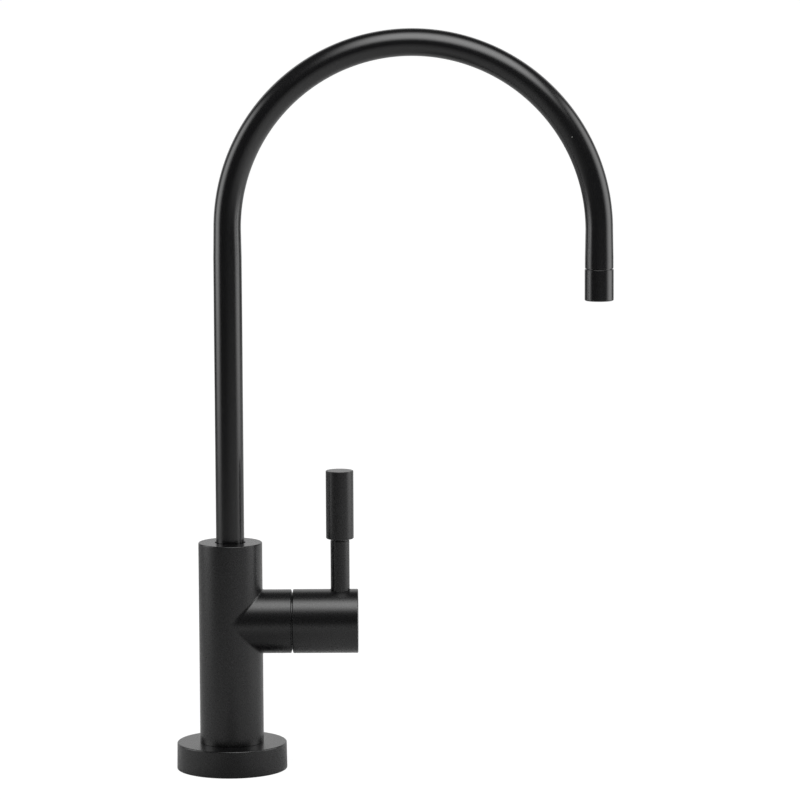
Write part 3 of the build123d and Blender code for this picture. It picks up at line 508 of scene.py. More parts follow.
def turned_metal(name, hex_colour, roughness, axis):
    """A bare turned metal with tool rings round the axis X or Z."""
    material, tree, shader, place = blank(name)
    along = add_node(tree, "ShaderNodeSeparateXYZ", {0: place}).outputs[axis]
    rings = add_node(tree, "ShaderNodeTexNoise", {
        "W": along,
        "Scale": 1 / (RING_MM * MM),
        "Detail": 3.0,
    }, noise_dimensions="1D")
    stain = add_node(tree, "ShaderNodeTexNoise", {
        "Vector": place,
        "Scale": 1 / (STAIN_MM * MM),
        "Detail": 2.0,
    })
    rough = add_node(tree, "ShaderNodeMapRange", {
        "Value": stain,
        "From Min": NOISE_LOW,
        "From Max": NOISE_HIGH,
        "To Min": roughness - STAIN_SMOOTHER,
        "To Max": roughness + STAIN_DULLER,
    })
    bump = add_node(tree, "ShaderNodeBump", {"Height": rings, "Distance": RING_HIGH_MM * MM})
    colour = linear(hex_colour)
    set_sockets(shader, {"Metallic": 1.0, "Base Color": colour, "Roughness": rough, "Normal": bump})
    return material


BRASS = "efdca0"
upright_brass = turned_metal("free_cutting_brass_turned_upright", BRASS, 0.26, "Z")
level_brass = turned_metal("free_cutting_brass_turned_level", BRASS, 0.26, "X")

# %% [markdown]
# ### Stamped stainless steel
#
# The clamp plate, the spring washer, the clips and the screen are punched from stainless sheet
# and tumbled to take the burrs off. The eye sees a grey metal with a short, even, crossed
# scratch pattern. The scratches are some hundredths of a millimetre wide. They are drawn
# 0.3 mm wide. The small screws are the same steel, turned.

# %% Tumbled sheet steel
STAINLESS = "c9c6c1"
SCRATCH_MM = 0.3
SCRATCH_LONG = 6.0
SCRATCH_HIGH_MM = 0.0012
SCRATCH_TURNS_DEG = (35, -50)
SCRATCH_SMOOTHER = 0.06
SCRATCH_DULLER = 0.08


def tumbled_steel(name, roughness):
    """Sheet steel with scratches that cross in two directions."""
    material, tree, shader, place = blank(name)
    heights = []
    for turn_deg in SCRATCH_TURNS_DEG:
        turned_place = add_node(tree, "ShaderNodeMapping", {
            "Vector": place,
            "Rotation": (0, 0, radians(turn_deg)),
            "Scale": (1, 1 / SCRATCH_LONG, 1),
        })
        heights.append(add_node(tree, "ShaderNodeTexNoise", {
            "Vector": turned_place,
            "Scale": 1 / (SCRATCH_MM * MM),
            "Detail": 3.0,
        }))
    both = add_node(tree, "ShaderNodeMath", {0: heights[0], 1: heights[1]}, operation="MULTIPLY")
    rough = add_node(tree, "ShaderNodeMapRange", {
        "Value": both,
        "From Min": NOISE_LOW ** 2,
        "From Max": NOISE_HIGH ** 2,
        "To Min": roughness - SCRATCH_SMOOTHER,
        "To Max": roughness + SCRATCH_DULLER,
    })
    bump = add_node(tree, "ShaderNodeBump", {"Height": both, "Distance": SCRATCH_HIGH_MM * MM})
    colour = linear(STAINLESS)
    set_sockets(shader, {"Metallic": 1.0, "Base Color": colour, "Roughness": rough, "Normal": bump})
    return material


sheet_steel = tumbled_steel("stainless_sheet_stamped_and_tumbled", 0.34)
screw_steel = turned_metal("stainless_screw_turned_level", STAINLESS, 0.24, "X")

# %% [markdown]
# ### Moulded rubber
#
# The seals, O-rings, gasket and worktop pad are EPDM rubber, pressed in a mould. The eye sees
# a dark grey that hardly shines, a fine matt grain from the mould and a slow pale bloom where
# wax has come to the surface. The mould's grain of about 0.05 mm is drawn 0.4 mm wide.

# %% Moulded rubber
RUBBER = "1c1c1d"
RUBBER_BLOOM = "2e2e2d"
BLOOM_MM = 5.0
RUBBER_GRAIN_MM = 0.4
RUBBER_GRAIN_HIGH_MM = 0.008

rubber = clouded(
    "epdm_rubber_moulded", BLOOM_MM, detail=3.0, colours=(RUBBER, RUBBER_BLOOM),
    roughnesses=(0.62, 0.78), ior=1.52, relief=(RUBBER_GRAIN_MM, 2.0, RUBBER_GRAIN_HIGH_MM),
)

# %% [markdown]
# ### Moulded acetal
#
# The push-fit inlet, the bushes and the nozzle's insert are acetal, injection moulded. It is a
# milky white plastic with a waxy sheen. Light goes a little way into it, so its edges look soft,
# and the surface has faint sink and flow marks some millimetres wide.

# %% Moulded acetal
ACETAL = "e6e4dc"
ACETAL_FLOW = "dcdad0"
ACETAL_DEPTH_MM = 0.6
FLOW_MM = 4.0
FLOW_HIGH_MM = 0.01

acetal = clouded(
    "acetal_injection_moulded", FLOW_MM, detail=3.0, colours=(ACETAL, ACETAL_FLOW),
    roughnesses=(0.3, 0.42), ior=1.48, relief=(FLOW_MM, 3.0, FLOW_HIGH_MM),
)
set_sockets(acetal.node_tree.nodes["Principled BSDF"], {
    "Subsurface Weight": 0.25,
    "Subsurface Scale": ACETAL_DEPTH_MM * MM,
})

# %% [markdown]
# ### Lapped alumina
#
# The two discs of the cartridge are sintered alumina. Their faces are lapped so flat that they
# seal on each other. The eye sees a cream white with a hard clear gloss and, close up, the dull
# pores between the grains. Pores of some hundredths of a millimetre are drawn 0.25 mm wide.

# %% Lapped alumina
ALUMINA_PORE = "e4dfd2"
ALUMINA = "efebe0"
PORE_MM = 0.25

alumina = clouded(
    "alumina_sintered_and_lapped", PORE_MM, detail=4.0, colours=(ALUMINA_PORE, ALUMINA),
    roughnesses=(0.3, 0.1), ior=1.77,
)

# %% [markdown]
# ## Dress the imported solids
#
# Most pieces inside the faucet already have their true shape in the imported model, so they keep
# it and only take a finish. The slot of each node says which. What is turned along the port
# takes the brass whose rings run round the X axis, and the small screws and the drawn tube have
# finishes of their own.

# %% Give each node its finish
LEVEL_PIECES = ("cartridge_shell", "spindle")
SCREWS = ("spout_retaining_screw", "handle_set_screw")
TUBE_PIECES = ("spout_tube", "nozzle_shell")
finish_of_slot = {
    "satin_black": coat,
    "plain_brass": upright_brass,
    "stainless": sheet_steel,
    "seal_rubber": rubber,
    "acetal": acetal,
    "alumina": alumina,
}
finish_of = {name: finish_of_slot[slot] for name, slot in slot_of.items()}
finish_of.update({name: level_brass for name in LEVEL_PIECES})
finish_of.update({name: screw_steel for name in SCREWS})
finish_of.update({name: tube_coat for name in TUBE_PIECES})
for name, node in nodes.items():
    node.data.materials[0] = finish_of[name]
for material in set(finish_of.values()):
    print(material.name, "on", sum(finish == material for finish in finish_of.values()), "nodes")

# %% [markdown]
# ## Modelling tools
#
# The pieces that show are modelled anew, because their real edges are rounded and the seam of
# the body is blended, which plain solids don't have. An operator acts on all that is selected,
# so one helper selects objects and another picks edges or faces by their place. Places are
# compared to within NEAR millimetres, and points closer together than MERGE become one.

# %% Select and pick
MERGE = 0.001 * MM
NEAR = 0.1


def only(*objects):
    """Selects these objects alone and makes the first one active."""
    bpy.ops.object.select_all(action="DESELECT")
    for item in objects:
        item.select_set(True)
    bpy.context.view_layer.objects.active = objects[0]


def edit_all():
    """Opens the active piece in edit mode with everything selected."""
    bpy.ops.object.mode_set(mode="EDIT")
    bpy.ops.mesh.select_all(action="SELECT")


def close_mesh():
    """Merges doubles, turns all faces outwards and leaves edit mode."""
    bpy.ops.mesh.select_all(action="SELECT")
    bpy.ops.mesh.remove_doubles(threshold=MERGE)
    bpy.ops.mesh.normals_make_consistent(inside=False)
    bpy.ops.object.mode_set(mode="OBJECT")


def pick(piece, kind, accept):
    """In edit mode, selects the edges or faces whose middle, in millimetres, accept takes."""
    bpy.ops.mesh.select_mode(type=kind)
    bpy.ops.mesh.select_all(action="DESELECT")
    mesh = bmesh.from_edit_mesh(piece.data)
    for part in mesh.edges if kind == "EDGE" else mesh.faces:
        middle = sum((vertex.co for vertex in part.verts), Vector()) / len(part.verts) / MM
        part.select_set(bool(accept(middle)))
    bmesh.update_edit_mesh(piece.data)


def ring_at(height, radius=0):
    """Accepts edges at that height about Z and at least that far out, to within NEAR."""
    return lambda middle: abs(middle.z - height) < NEAR and middle.xy.length > radius - NEAR


# %% [markdown]
# ## Turning
#
# Nearly every outer piece is turned on a lathe. It could be an outline with a Screw modifier,
# or a circle that is extruded and scaled from step to step, as one does by hand in edit mode.
# The circle is used here, because each step is a (radius, height) pair that can be read off a
# drawing. A ring, such as the base, closes on its first step. Anything else gets its ends filled.
# The sides are so many that no outline shows a corner: most for the big rounds of base, body
# and hub, fewer for bars and the fewest for small rounds.

# %% Turned pieces
BIG_SIDES = 192
BAR_SIDES = 128
SMALL_SIDES = 96


def start_ring(name, radius, height, sides):
    """Adds a circle round Z, all in millimetres, and opens it in edit mode."""
    bpy.ops.object.select_all(action="DESELECT")
    bpy.ops.mesh.primitive_circle_add(vertices=sides, radius=radius * MM)
    piece = bpy.context.object
    piece.name = name
    edit_all()
    bpy.ops.transform.translate(value=(0, 0, height * MM))
    return piece


def extrude_up(height):
    """Extrudes the selected ring by that many millimetres, down if it is negative."""
    bpy.ops.mesh.extrude_edges_move(TRANSFORM_OT_translate={"value": (0, 0, height * MM)})


def turned(name, steps, sides=BIG_SIDES, ring=False):
    """A lathe part about Z from (radius, height) steps in millimetres."""
    radius, height = steps[0]
    piece = start_ring(name, radius, height, sides)
    for next_radius, next_height in steps[1:] + (steps[:1] if ring else []):
        extrude_up(next_height - height)
        share = next_radius / radius
        bpy.ops.transform.resize(value=(share, share, 1), center_override=(0, 0, next_height * MM))
        radius, height = next_radius, next_height
    if not ring:
        bpy.ops.mesh.select_all(action="SELECT")
        bpy.ops.mesh.fill_holes(sides=0)
    close_mesh()
    return piece


def put(piece, matrix):
    """Turns and moves a piece by a matrix and leaves its object at the origin."""
    only(piece)
    piece.matrix_world = matrix
    bpy.ops.object.transform_apply(location=True, rotation=True, scale=True)
    return piece


# %% [markdown]
# ## Rounding
#
# A baked coat can't follow a sharp edge, so every edge of the real faucet is a little round,
# and that thin round line is what catches the light. The bevel tool rounds the edges that are
# sharper than 25 degrees and lie where the caller says. A wide round takes more steps.

# %% Rounded edges
SHARP_DEG = 25
ROUND_STEPS = 3
TOP_STEPS = 4
LIP_STEPS = 5


def round_edges(piece, width_mm, accept=lambda middle: True, steps=ROUND_STEPS):
    """Rounds the sharp edges whose middle, in millimetres, accept takes."""
    only(piece)
    bpy.ops.object.mode_set(mode="EDIT")
    bpy.ops.mesh.select_mode(type="EDGE")
    bpy.ops.mesh.select_all(action="DESELECT")
    bpy.ops.mesh.edges_select_sharp(sharpness=radians(SHARP_DEG))
    sharp = {edge.index for edge in bmesh.from_edit_mesh(piece.data).edges if edge.select}
    pick(piece, "EDGE", accept)
    for edge in bmesh.from_edit_mesh(piece.data).edges:
        if edge.select and edge.index not in sharp:
            edge.select_set(False)
    bmesh.update_edit_mesh(piece.data)
    bpy.ops.mesh.bevel(offset=width_mm * MM, segments=steps, affect="EDGES")
    bpy.ops.mesh.select_mode(type="VERT")
    bpy.ops.object.mode_set(mode="OBJECT")
    return piece


# %% [markdown]
# ## Boring
#
# Holes are bored with a cutter: a turned piece of the drill's shape, a Boolean modifier that
# takes it away, and the modifier applied at once. A hole could also be modelled into the mesh
# by hand, but a cutter gives a true edge where a round hole meets a round wall. A cutter
# reaches SPARE past the face that it opens, and a hole is THREAD_GAP wider than what goes into
# it. The cut can leave slivers, edges far too short to see, which open the mesh when it is
# saved. They are merged.

# %% Bored holes
SLIVER = 0.0005 * MM
SPARE = 1.0
THREAD_GAP = 0.03


def apply_last(piece):
    """Applies the modifier that was added last."""
    only(piece)
    bpy.ops.object.modifier_apply(modifier=piece.modifiers[-1].name)


def combine(piece, other, operation):
    """Cuts the other piece away from this one, adds it or keeps what both share, and removes it."""
    boolean = piece.modifiers.new("combine", "BOOLEAN")
    boolean.operation = operation
    boolean.solver = "EXACT"
    boolean.object = other
    apply_last(piece)
    bpy.data.objects.remove(other)
    edit_all()
    bpy.ops.mesh.remove_doubles(threshold=SLIVER)
    bpy.ops.mesh.dissolve_degenerate(threshold=SLIVER)
    bpy.ops.object.mode_set(mode="OBJECT")
    return piece


def bore(piece, name, steps, place=Matrix(), sides=BIG_SIDES):
    """Bores a hole with a turned cutter, which place takes from the Z axis to where the hole is."""
    return combine(piece, put(turned(name, steps, sides), place), "DIFFERENCE")


# %% [markdown]
# ## Finishing a piece
#
# The last steps are the same for all: smooth shading that stops at real edges, normals weighted
# by area, so that the small rounded faces bend and the large faces stay true, and then the
# body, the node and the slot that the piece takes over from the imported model.

# %% Finish a piece
SMOOTH_DEG = 32


def finish_piece(piece, node):
    """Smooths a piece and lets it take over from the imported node."""
    only(piece)
    bpy.ops.object.shade_smooth_by_angle(angle=radians(SMOOTH_DEG))
    weighted = piece.modifiers.new("weighted", "WEIGHTED_NORMAL")
    weighted.keep_sharp = True
    apply_last(piece)
    piece.data.materials.clear()
    piece.data.materials.append(finish_of[node])
    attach(piece, body_of[node])
    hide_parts(node)
    low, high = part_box(node)
    past = []
    for i in range(3):
        values = [vertex.co[i] for vertex in piece.data.vertices]
        past += [low[i] - min(values), max(values) - high[i]]
    faces = len(piece.data.polygons)
    print(piece.name, "for", node, "with", faces, "faces,", round(max(past) / MM, 3), "mm past its box")


def box_mm(node):
    """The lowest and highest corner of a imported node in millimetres."""
    return [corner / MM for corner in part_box(node)]


# %% [markdown]
# ## Base
#
# The base is a turned plate that covers the hole in the worktop. Its side leans in slightly
# towards the top, its underside is hollow, and a gasket lies in a groove round the foot. It
# could be a disc with its hollows cut out, but one ring of steps gives all of it at once. The
# top edge is rounded more than the foot.

# %% Base
BASE_TOP_R = 23.4
BASE_FOOT_EDGE = 0.3
BASE_TOP_EDGE = 0.55
BASE_HOLE_R = 7.1
BASE_BOSS_R = 10.5
BASE_POCKET_H = 6.0
BASE_RIB_W = 1.0
GASKET_W = 2.8
GASKET_GAP = 0.1

base_low, base_high = box_mm("base_escutcheon")
gasket_high = box_mm("base_gasket")[1]
foot_r = base_high.x
gasket_out_r = gasket_high.x + GASKET_GAP
gasket_in_r = gasket_out_r - 2 * GASKET_GAP - GASKET_W
pocket_r = gasket_in_r - BASE_RIB_W
base = turned("base_plate", [
    (BASE_HOLE_R, base_low.z),
    (BASE_BOSS_R, base_low.z),
    (BASE_BOSS_R, BASE_POCKET_H),
    (pocket_r, BASE_POCKET_H),
    (pocket_r, base_low.z),
    (gasket_in_r, base_low.z),
    (gasket_in_r, gasket_high.z),
    (gasket_out_r, gasket_high.z),
    (gasket_out_r, base_low.z),
    (foot_r, base_low.z),
    (BASE_TOP_R, base_high.z),
    (BASE_HOLE_R, base_high.z),
], ring=True)
round_edges(base, BASE_TOP_EDGE, ring_at(base_high.z, BASE_TOP_R), TOP_STEPS)
round_edges(base, BASE_FOOT_EDGE, ring_at(base_low.z, foot_r))
finish_piece(base, "base_escutcheon")

# %% [markdown]
# ## Body
#
# The body is a tee: an upright barrel and a side port of the same diameter. Where two equal
# pipes meet, the seam lies in two slanted planes, as on a mitred picture frame. A Boolean could
# join them, but bisecting both pipes with those planes gives a clean seam whose edges line up.
# The seam of the casting is ground and polished before it is coated: the blend is wide near the
# front and back, where the pipes run into each other, and narrow at the top and bottom of the
# port. A Bevel modifier that follows edge weights does that. At the very front and back the two
# pipes are in line and need no blend, so the weight falls to nothing there. Some extra rings on
# the straight stretches keep the shading true beside the seam and the holes.

# %% Barrel and port
LIP_DEEP = 0.7
LIP_LONG = 0.25
LOOP_SPARE = 4.0

body_low, body_high = box_mm("tee_body")
hub_low, hub_high = box_mm("handle_hub")
screw_low, screw_high = box_mm("spout_retaining_screw")
body_r = body_high.y
port_end = body_high.x
port_z = (hub_low.z + hub_high.z) / 2
along_port = Matrix.Translation((0, 0, port_z * MM)) @ Matrix.Rotation(radians(90), 4, "Y")

barrel = turned("tee_casting", [
    (body_r, body_low.z),
    (body_r, port_z - body_r - LOOP_SPARE),
    (body_r, port_z + body_r + LOOP_SPARE / 2),
    (body_r, screw_high.z + LOOP_SPARE / 2),
    (body_r, body_high.z),
])
port = turned("port", [
    (body_r, 0),
    (body_r, port_end - LIP_LONG),
    (body_r - LIP_DEEP, port_end),
])
put(port, along_port)
print("both pipes", round(2 * body_r, 2), "mm thick, the port", round(port_z, 2), "mm up")

# %% Mitre the two pipes
ON_SEAM = 0.01


def mitre(pipe, cut_away):
    """Bisects a pipe with both slanted planes of the seam and deletes the faces that cut_away takes."""
    only(pipe)
    bpy.ops.object.mode_set(mode="EDIT")
    for side in (1, -1):
        pick(pipe, "FACE", lambda middle: middle.x > 0)
        bpy.ops.mesh.bisect(plane_co=(0, 0, port_z * MM), plane_no=(1, 0, -side))
    pick(pipe, "FACE", cut_away)
    bpy.ops.mesh.delete(type="FACE")
    bpy.ops.object.mode_set(mode="OBJECT")


def past_seam(middle):
    """How far a point lies on the port's side of the seam."""
    return middle.x - abs(middle.z - port_z)


mitre(barrel, lambda middle: past_seam(middle) > 0)
mitre(port, lambda middle: past_seam(middle) < ON_SEAM and middle.x < body_r)
only(barrel, port)
bpy.ops.object.join()
edit_all()
close_mesh()
tee = barrel
print("tee", len(tee.data.vertices), "vertices before the seam is blended")

# %% Blend the seam
SEAM_WIDE_MM = 1.7
SEAM_NARROW_SHARE = 0.3
SEAM_FADE_MM = 7.0
SEAM_STILL_MM = 0.3
SEAM_RISE_MM = 2.5
SEAM_STEPS = 8
BODY_TOP_EDGE = 0.45
BODY_FOOT_EDGE = 0.15
LIP_EDGE = 0.1

weights = tee.data.attributes.new("bevel_weight_edge", "FLOAT", "EDGE")
seam_edges = 0
for edge in tee.data.edges:
    ends = [tee.data.vertices[i].co / MM for i in edge.vertices]
    if all(abs(past_seam(end)) < ON_SEAM and end.x > -ON_SEAM for end in ends):
        out = (ends[0].x + ends[1].x) / 2
        fade = 1 - (1 - SEAM_NARROW_SHARE) * min(1, out / SEAM_FADE_MM)
        if out > SEAM_STILL_MM:
            weights.data[edge.index].value = min(out / SEAM_RISE_MM, fade)
        seam_edges += 1
blend = tee.modifiers.new("seam", "BEVEL")
blend.limit_method = "WEIGHT"
blend.width = SEAM_WIDE_MM * MM
blend.segments = SEAM_STEPS
apply_last(tee)
round_edges(tee, BODY_TOP_EDGE, ring_at(body_high.z), TOP_STEPS)
round_edges(tee, BODY_FOOT_EDGE, ring_at(body_low.z))
round_edges(tee, LIP_EDGE, lambda middle: middle.x > port_end - LIP_LONG - NEAR)
print(seam_edges, "seam edges blended,", len(tee.data.polygons), "faces")

# %% Bore the body
SOCKET_EDGE = 0.15
INLET_BORE_R = 4.0
SEAT_BORE_R = 3.5
OUTLET_DRILL_R = 2.4
OUTLET_DRILL_X = 4.0
OUTLET_DRILL_BITE = 3.4

socket_r = box_mm("spout_glide_ring")[1].y
socket_floor = box_mm("spout_insert")[0].z
shank_low, shank_high = box_mm("shank")
seal_top = box_mm("shank_seal")[1].z
chamber_r = box_mm("shell_oring")[1].y
seat_x = box_mm("cartridge_seal")[0].x
screw_r = screw_high.x + THREAD_GAP
screw_z = (screw_low.z + screw_high.z) / 2
bore(tee, "socket", [
    (socket_r, socket_floor),
    (socket_r, body_high.z - SOCKET_EDGE),
    (socket_r + SOCKET_EDGE + SPARE, body_high.z + SPARE),
])
bore(tee, "inlet", [
    (shank_high.y + THREAD_GAP, body_low.z - SPARE),
    (shank_high.y + THREAD_GAP, seal_top),
    (INLET_BORE_R, seal_top),
    (INLET_BORE_R, port_z + SEAT_BORE_R),
])
bore(tee, "chamber", [
    (SEAT_BORE_R, 0),
    (SEAT_BORE_R, seat_x),
    (chamber_r, seat_x),
    (chamber_r, port_end + SPARE),
], along_port)
bore(tee, "outlet", [
    (OUTLET_DRILL_R, port_z + chamber_r - OUTLET_DRILL_BITE),
    (OUTLET_DRILL_R, socket_floor + SPARE),
], Matrix.Translation((OUTLET_DRILL_X * MM, 0, 0)), SMALL_SIDES)
to_back = Matrix.Translation((0, 0, screw_z * MM)) @ Matrix.Rotation(radians(-90), 4, "X")
bore(tee, "screw_hole", [(screw_r, 0), (screw_r, body_r + SPARE)], to_back, SMALL_SIDES)
finish_piece(tee, "tee_body")

# %% [markdown]
# ## Gooseneck
#
# The spout is a drawn tube bent round a former. It could be a curve with a round bevel. A circle
# that is extruded up, spun round the bend's centre and extruded down gives the same path in
# three strokes and even rings. A bent tube is squeezed a little flat in the plane of its bend,
# so the ring is narrowed over the last millimetres before the bend and let out again after it.
# The wall comes last, with a Solidify modifier.

# %% Gooseneck
TUBE_R = 6.0
TUBE_WALL = 1.0
BEND_R = 78.4
BEND_STEPS = 128
BEND_FLAT_SHARE = 0.967
EASE_MM = 12.0
EASE_STEPS = 6
TUBE_RISE = 133.8
SPIGOT_H = 6.5
TIP_EDGE = 0.12

tube_low = box_mm("spout_tube")[0]
nozzle_low, nozzle_high = box_mm("nozzle_shell")
outlet = (nozzle_low + nozzle_high) / 2
swung = Matrix.Rotation(atan2(outlet.y, outlet.x), 4, "Z")
bend_z = body_high.z + TUBE_RISE
tube_tip = nozzle_high.z - SPIGOT_H


def ease(up, middle_x, start_z):
    """Extrudes up (1) or down (-1) in small steps while the ring goes flat or round again."""
    share = BEND_FLAT_SHARE ** (up / EASE_STEPS)
    step = up * EASE_MM / EASE_STEPS
    for i in range(1, EASE_STEPS + 1):
        extrude_up(step)
        at = (middle_x * MM, 0, (start_z + i * step) * MM)
        bpy.ops.transform.resize(value=(share, 1, 1), center_override=at)


tube = start_ring("gooseneck_tube", TUBE_R, tube_low.z, SMALL_SIDES)
extrude_up(bend_z - EASE_MM - tube_low.z)
ease(1, 0, bend_z - EASE_MM)
bpy.ops.mesh.spin(steps=BEND_STEPS, angle=pi, center=(BEND_R * MM, 0, bend_z * MM), axis=(0, -1, 0))
ease(-1, 2 * BEND_R, bend_z)
extrude_up(tube_tip - (bend_z - EASE_MM))
close_mesh()
wall = tube.modifiers.new("wall", "SOLIDIFY")
wall.thickness = TUBE_WALL * MM
wall.offset = -1
apply_last(tube)
round_edges(tube, TIP_EDGE)
finish_piece(put(tube, swung), "spout_tube")

# %% [markdown]
# ## Nozzle
#
# The nozzle is a turned shell that is pushed into the tube and ends in a rounded lip. Between
# the two lies a narrow groove, which reads as a dark line with a light one under it. The packed
# groove is shallow. Here it is as deep as it looks in the photograph. The grooves could be cut
# afterwards, but as steps of the one ring they stay exact.

# %% Nozzle
NECK_R = 5.45
NECK_L = 0.4
NOZZLE_R = 6.1
SPIGOT_R = TUBE_R - TUBE_WALL
SPIGOT_BORE_R = 3.5
MOUTH_R = 4.8
MOUTH_H = 8.5
NOZZLE_TOP_EDGE = 0.22
NOZZLE_FOOT_EDGE = 0.5
SEAL_DEEP = 0.8
SEAL_W = 1.1

foot = nozzle_low.z
top = tube_tip - NECK_L
ring_low, ring_high = box_mm("nozzle_oring")
ring_z = (ring_low.z + ring_high.z) / 2
nozzle = turned("nozzle_sleeve", [
    (MOUTH_R, foot),
    (NOZZLE_R, foot),
    (NOZZLE_R, top),
    (NECK_R, top),
    (NECK_R, tube_tip),
    (SPIGOT_R, tube_tip),
    (SPIGOT_R, ring_z - SEAL_W / 2),
    (SPIGOT_R - SEAL_DEEP, ring_z - SEAL_W / 2),
    (SPIGOT_R - SEAL_DEEP, ring_z + SEAL_W / 2),
    (SPIGOT_R, ring_z + SEAL_W / 2),
    (SPIGOT_R, nozzle_high.z),
    (SPIGOT_BORE_R, nozzle_high.z),
    (SPIGOT_BORE_R, foot + MOUTH_H),
    (MOUTH_R, foot + MOUTH_H),
], SMALL_SIDES, ring=True)
round_edges(nozzle, NOZZLE_FOOT_EDGE, ring_at(foot, NOZZLE_R), LIP_STEPS)
round_edges(nozzle, NOZZLE_TOP_EDGE, ring_at(top, NOZZLE_R))
at_outlet = swung @ Matrix.Translation((2 * BEND_R * MM, 0, 0))
finish_piece(put(nozzle, at_outlet), "nozzle_shell")

# %% [markdown]
# ## Handle hub
#
# The hub is a turned cap that lies on its side, as thick as the port. A small lip on both makes
# the V-shaped gap between them. The lever stands in a shallow pocket in its top, and a set
# screw comes in from below. Its holes cross each other, so they aren't steps of its outline
# but are bored one after the other, as in the real one.

# %% Hub
HUB_END_EDGE = 0.35
HUB_MOUTH_WALL = 1.0
HUB_MOUTH_GAP = 0.4
BONNET_FLANGE_L = 2.25
STEM_GAP = 0.3
STEM_SUNK = 1.8
TAIL_R = 3.0
TAIL_SPACE = 0.6
SPINDLE_SQUARE = 5.4
SQUARE_GAP = 0.05
SQUARE_SPACE = 0.3

hub_r = (hub_high.z - hub_low.z) / 2
stem_low, stem_high = box_mm("lever_stem")
lever_x = (stem_low.x + stem_high.x) / 2
stem_r = stem_high.y
bush_high = box_mm("handle_bush")[1]
spindle_high = box_mm("spindle")[1]
set_screw_low, set_screw_high = box_mm("handle_set_screw")
set_screw_x = (set_screw_low.x + set_screw_high.x) / 2
mouth_r = hub_r - HUB_MOUTH_WALL
mouth_end = port_end + BONNET_FLANGE_L + HUB_MOUTH_GAP
hub = put(turned("handle_hub_cap", [
    (hub_r - LIP_DEEP, hub_low.x),
    (hub_r, hub_low.x + LIP_LONG),
    (hub_r, lever_x - stem_r - LOOP_SPARE / 2),
    (hub_r, hub_high.x),
]), along_port)
round_edges(hub, HUB_END_EDGE, lambda middle: middle.x > hub_high.x - NEAR, TOP_STEPS)
round_edges(hub, LIP_EDGE, lambda middle: middle.x < hub_low.x + LIP_LONG + NEAR)
print("hub", round(2 * hub_r, 2), "mm thick with a mouth", round(mouth_end - hub_low.x, 2), "mm deep")

# %% Bore the hub
at_lever = Matrix.Translation((lever_x * MM, 0, 0))
seat = hub_high.z - STEM_SUNK
bore(hub, "mouth", [
    (mouth_r, hub_low.x - SPARE),
    (mouth_r, mouth_end),
    (bush_high.y, mouth_end),
    (bush_high.y, bush_high.x),
], along_port)
bore(hub, "lever_pocket", [
    (TAIL_R + THREAD_GAP, stem_low.z - TAIL_SPACE),
    (TAIL_R + THREAD_GAP, seat),
    (stem_r + STEM_GAP, seat),
    (stem_r + STEM_GAP, hub_high.z + SPARE),
], at_lever, SMALL_SIDES)
below = Matrix.Translation((set_screw_x * MM, 0, port_z * MM)) @ Matrix.Rotation(pi, 4, "X")
bore(hub, "set_screw_hole", [
    (set_screw_high.y + THREAD_GAP, 0),
    (set_screw_high.y + THREAD_GAP, hub_r + SPARE),
], below, SMALL_SIDES)
square_corner = (SPINDLE_SQUARE / 2 + SQUARE_GAP) / cos(radians(45))
bore(hub, "square_hole", [
    (square_corner, bush_high.x - SPARE),
    (square_corner, spindle_high.x + SQUARE_SPACE),
], along_port @ Matrix.Rotation(radians(45), 4, "Z"), sides=4)
finish_piece(hub, "handle_hub")

# %% [markdown]
# ## Lever
#
# The stem screws into the hub and ends in a fine neck under the grip, a plain turned bar with a
# crisp top and a softer foot. They could be one outline, but the real grip is bored and sits on
# the stem's tail, so each is turned by itself.

# %% Stem and grip
STEM_NECK_DEEP = 0.4
STEM_NECK_L = 0.8
STEM_EDGE = 0.18
GRIP_FOOT_EDGE = 0.5
GRIP_TOP_EDGE = 0.3

grip_low, grip_high = box_mm("lever_grip")
neck_r = stem_r - STEM_NECK_DEEP
stem = turned("lever_stem_bar", [
    (TAIL_R, stem_low.z),
    (TAIL_R, seat),
    (stem_r, seat),
    (stem_r, grip_low.z - STEM_NECK_L),
    (neck_r, grip_low.z - STEM_NECK_L),
    (neck_r, grip_low.z),
    (TAIL_R, grip_low.z),
    (TAIL_R, stem_high.z),
], SMALL_SIDES)
round_edges(stem, STEM_EDGE, ring_at(grip_low.z - STEM_NECK_L, stem_r))
finish_piece(put(stem, at_lever), "lever_stem")

grip_r = (grip_high.x - grip_low.x) / 2
grip = turned("lever_grip_bar", [(grip_r, grip_low.z), (grip_r, grip_high.z)], BAR_SIDES)
round_edges(grip, GRIP_FOOT_EDGE, ring_at(grip_low.z), LIP_STEPS)
round_edges(grip, GRIP_TOP_EDGE, ring_at(grip_high.z), TOP_STEPS)
bore(grip, "grip_bore", [
    (TAIL_R + THREAD_GAP, grip_low.z - SPARE),
    (TAIL_R + THREAD_GAP, stem_high.z + TAIL_SPACE),
], sides=SMALL_SIDES)
finish_piece(put(grip, at_lever), "lever_grip")

# %% [markdown]
# ## Threaded shank
#
# The shank holds the faucet in the worktop. Its thread is a real helix here. A thread can be
# faked with stacked rings, but from below the eye finds rings at once. One tooth of the thread
# is drawn point by point in edit mode, a Screw modifier winds it up, the ends are cut square
# with the bisect tool, and a turned blank with the bore and the chamfered end keeps what is
# inside it.

# %% Shank
PITCH = 1.058
THREAD_DEEP = 0.55
CREST_FLAT = 0.13
ROOT_FLAT = 0.26
THREAD_R = 5.555
SHOULDER_Z = 1.5
THREAD_LEAD = 0.7
SHANK_BORE_R = 2.8
THREAD_SIDES = 64
BLANK_SPARE = 0.1

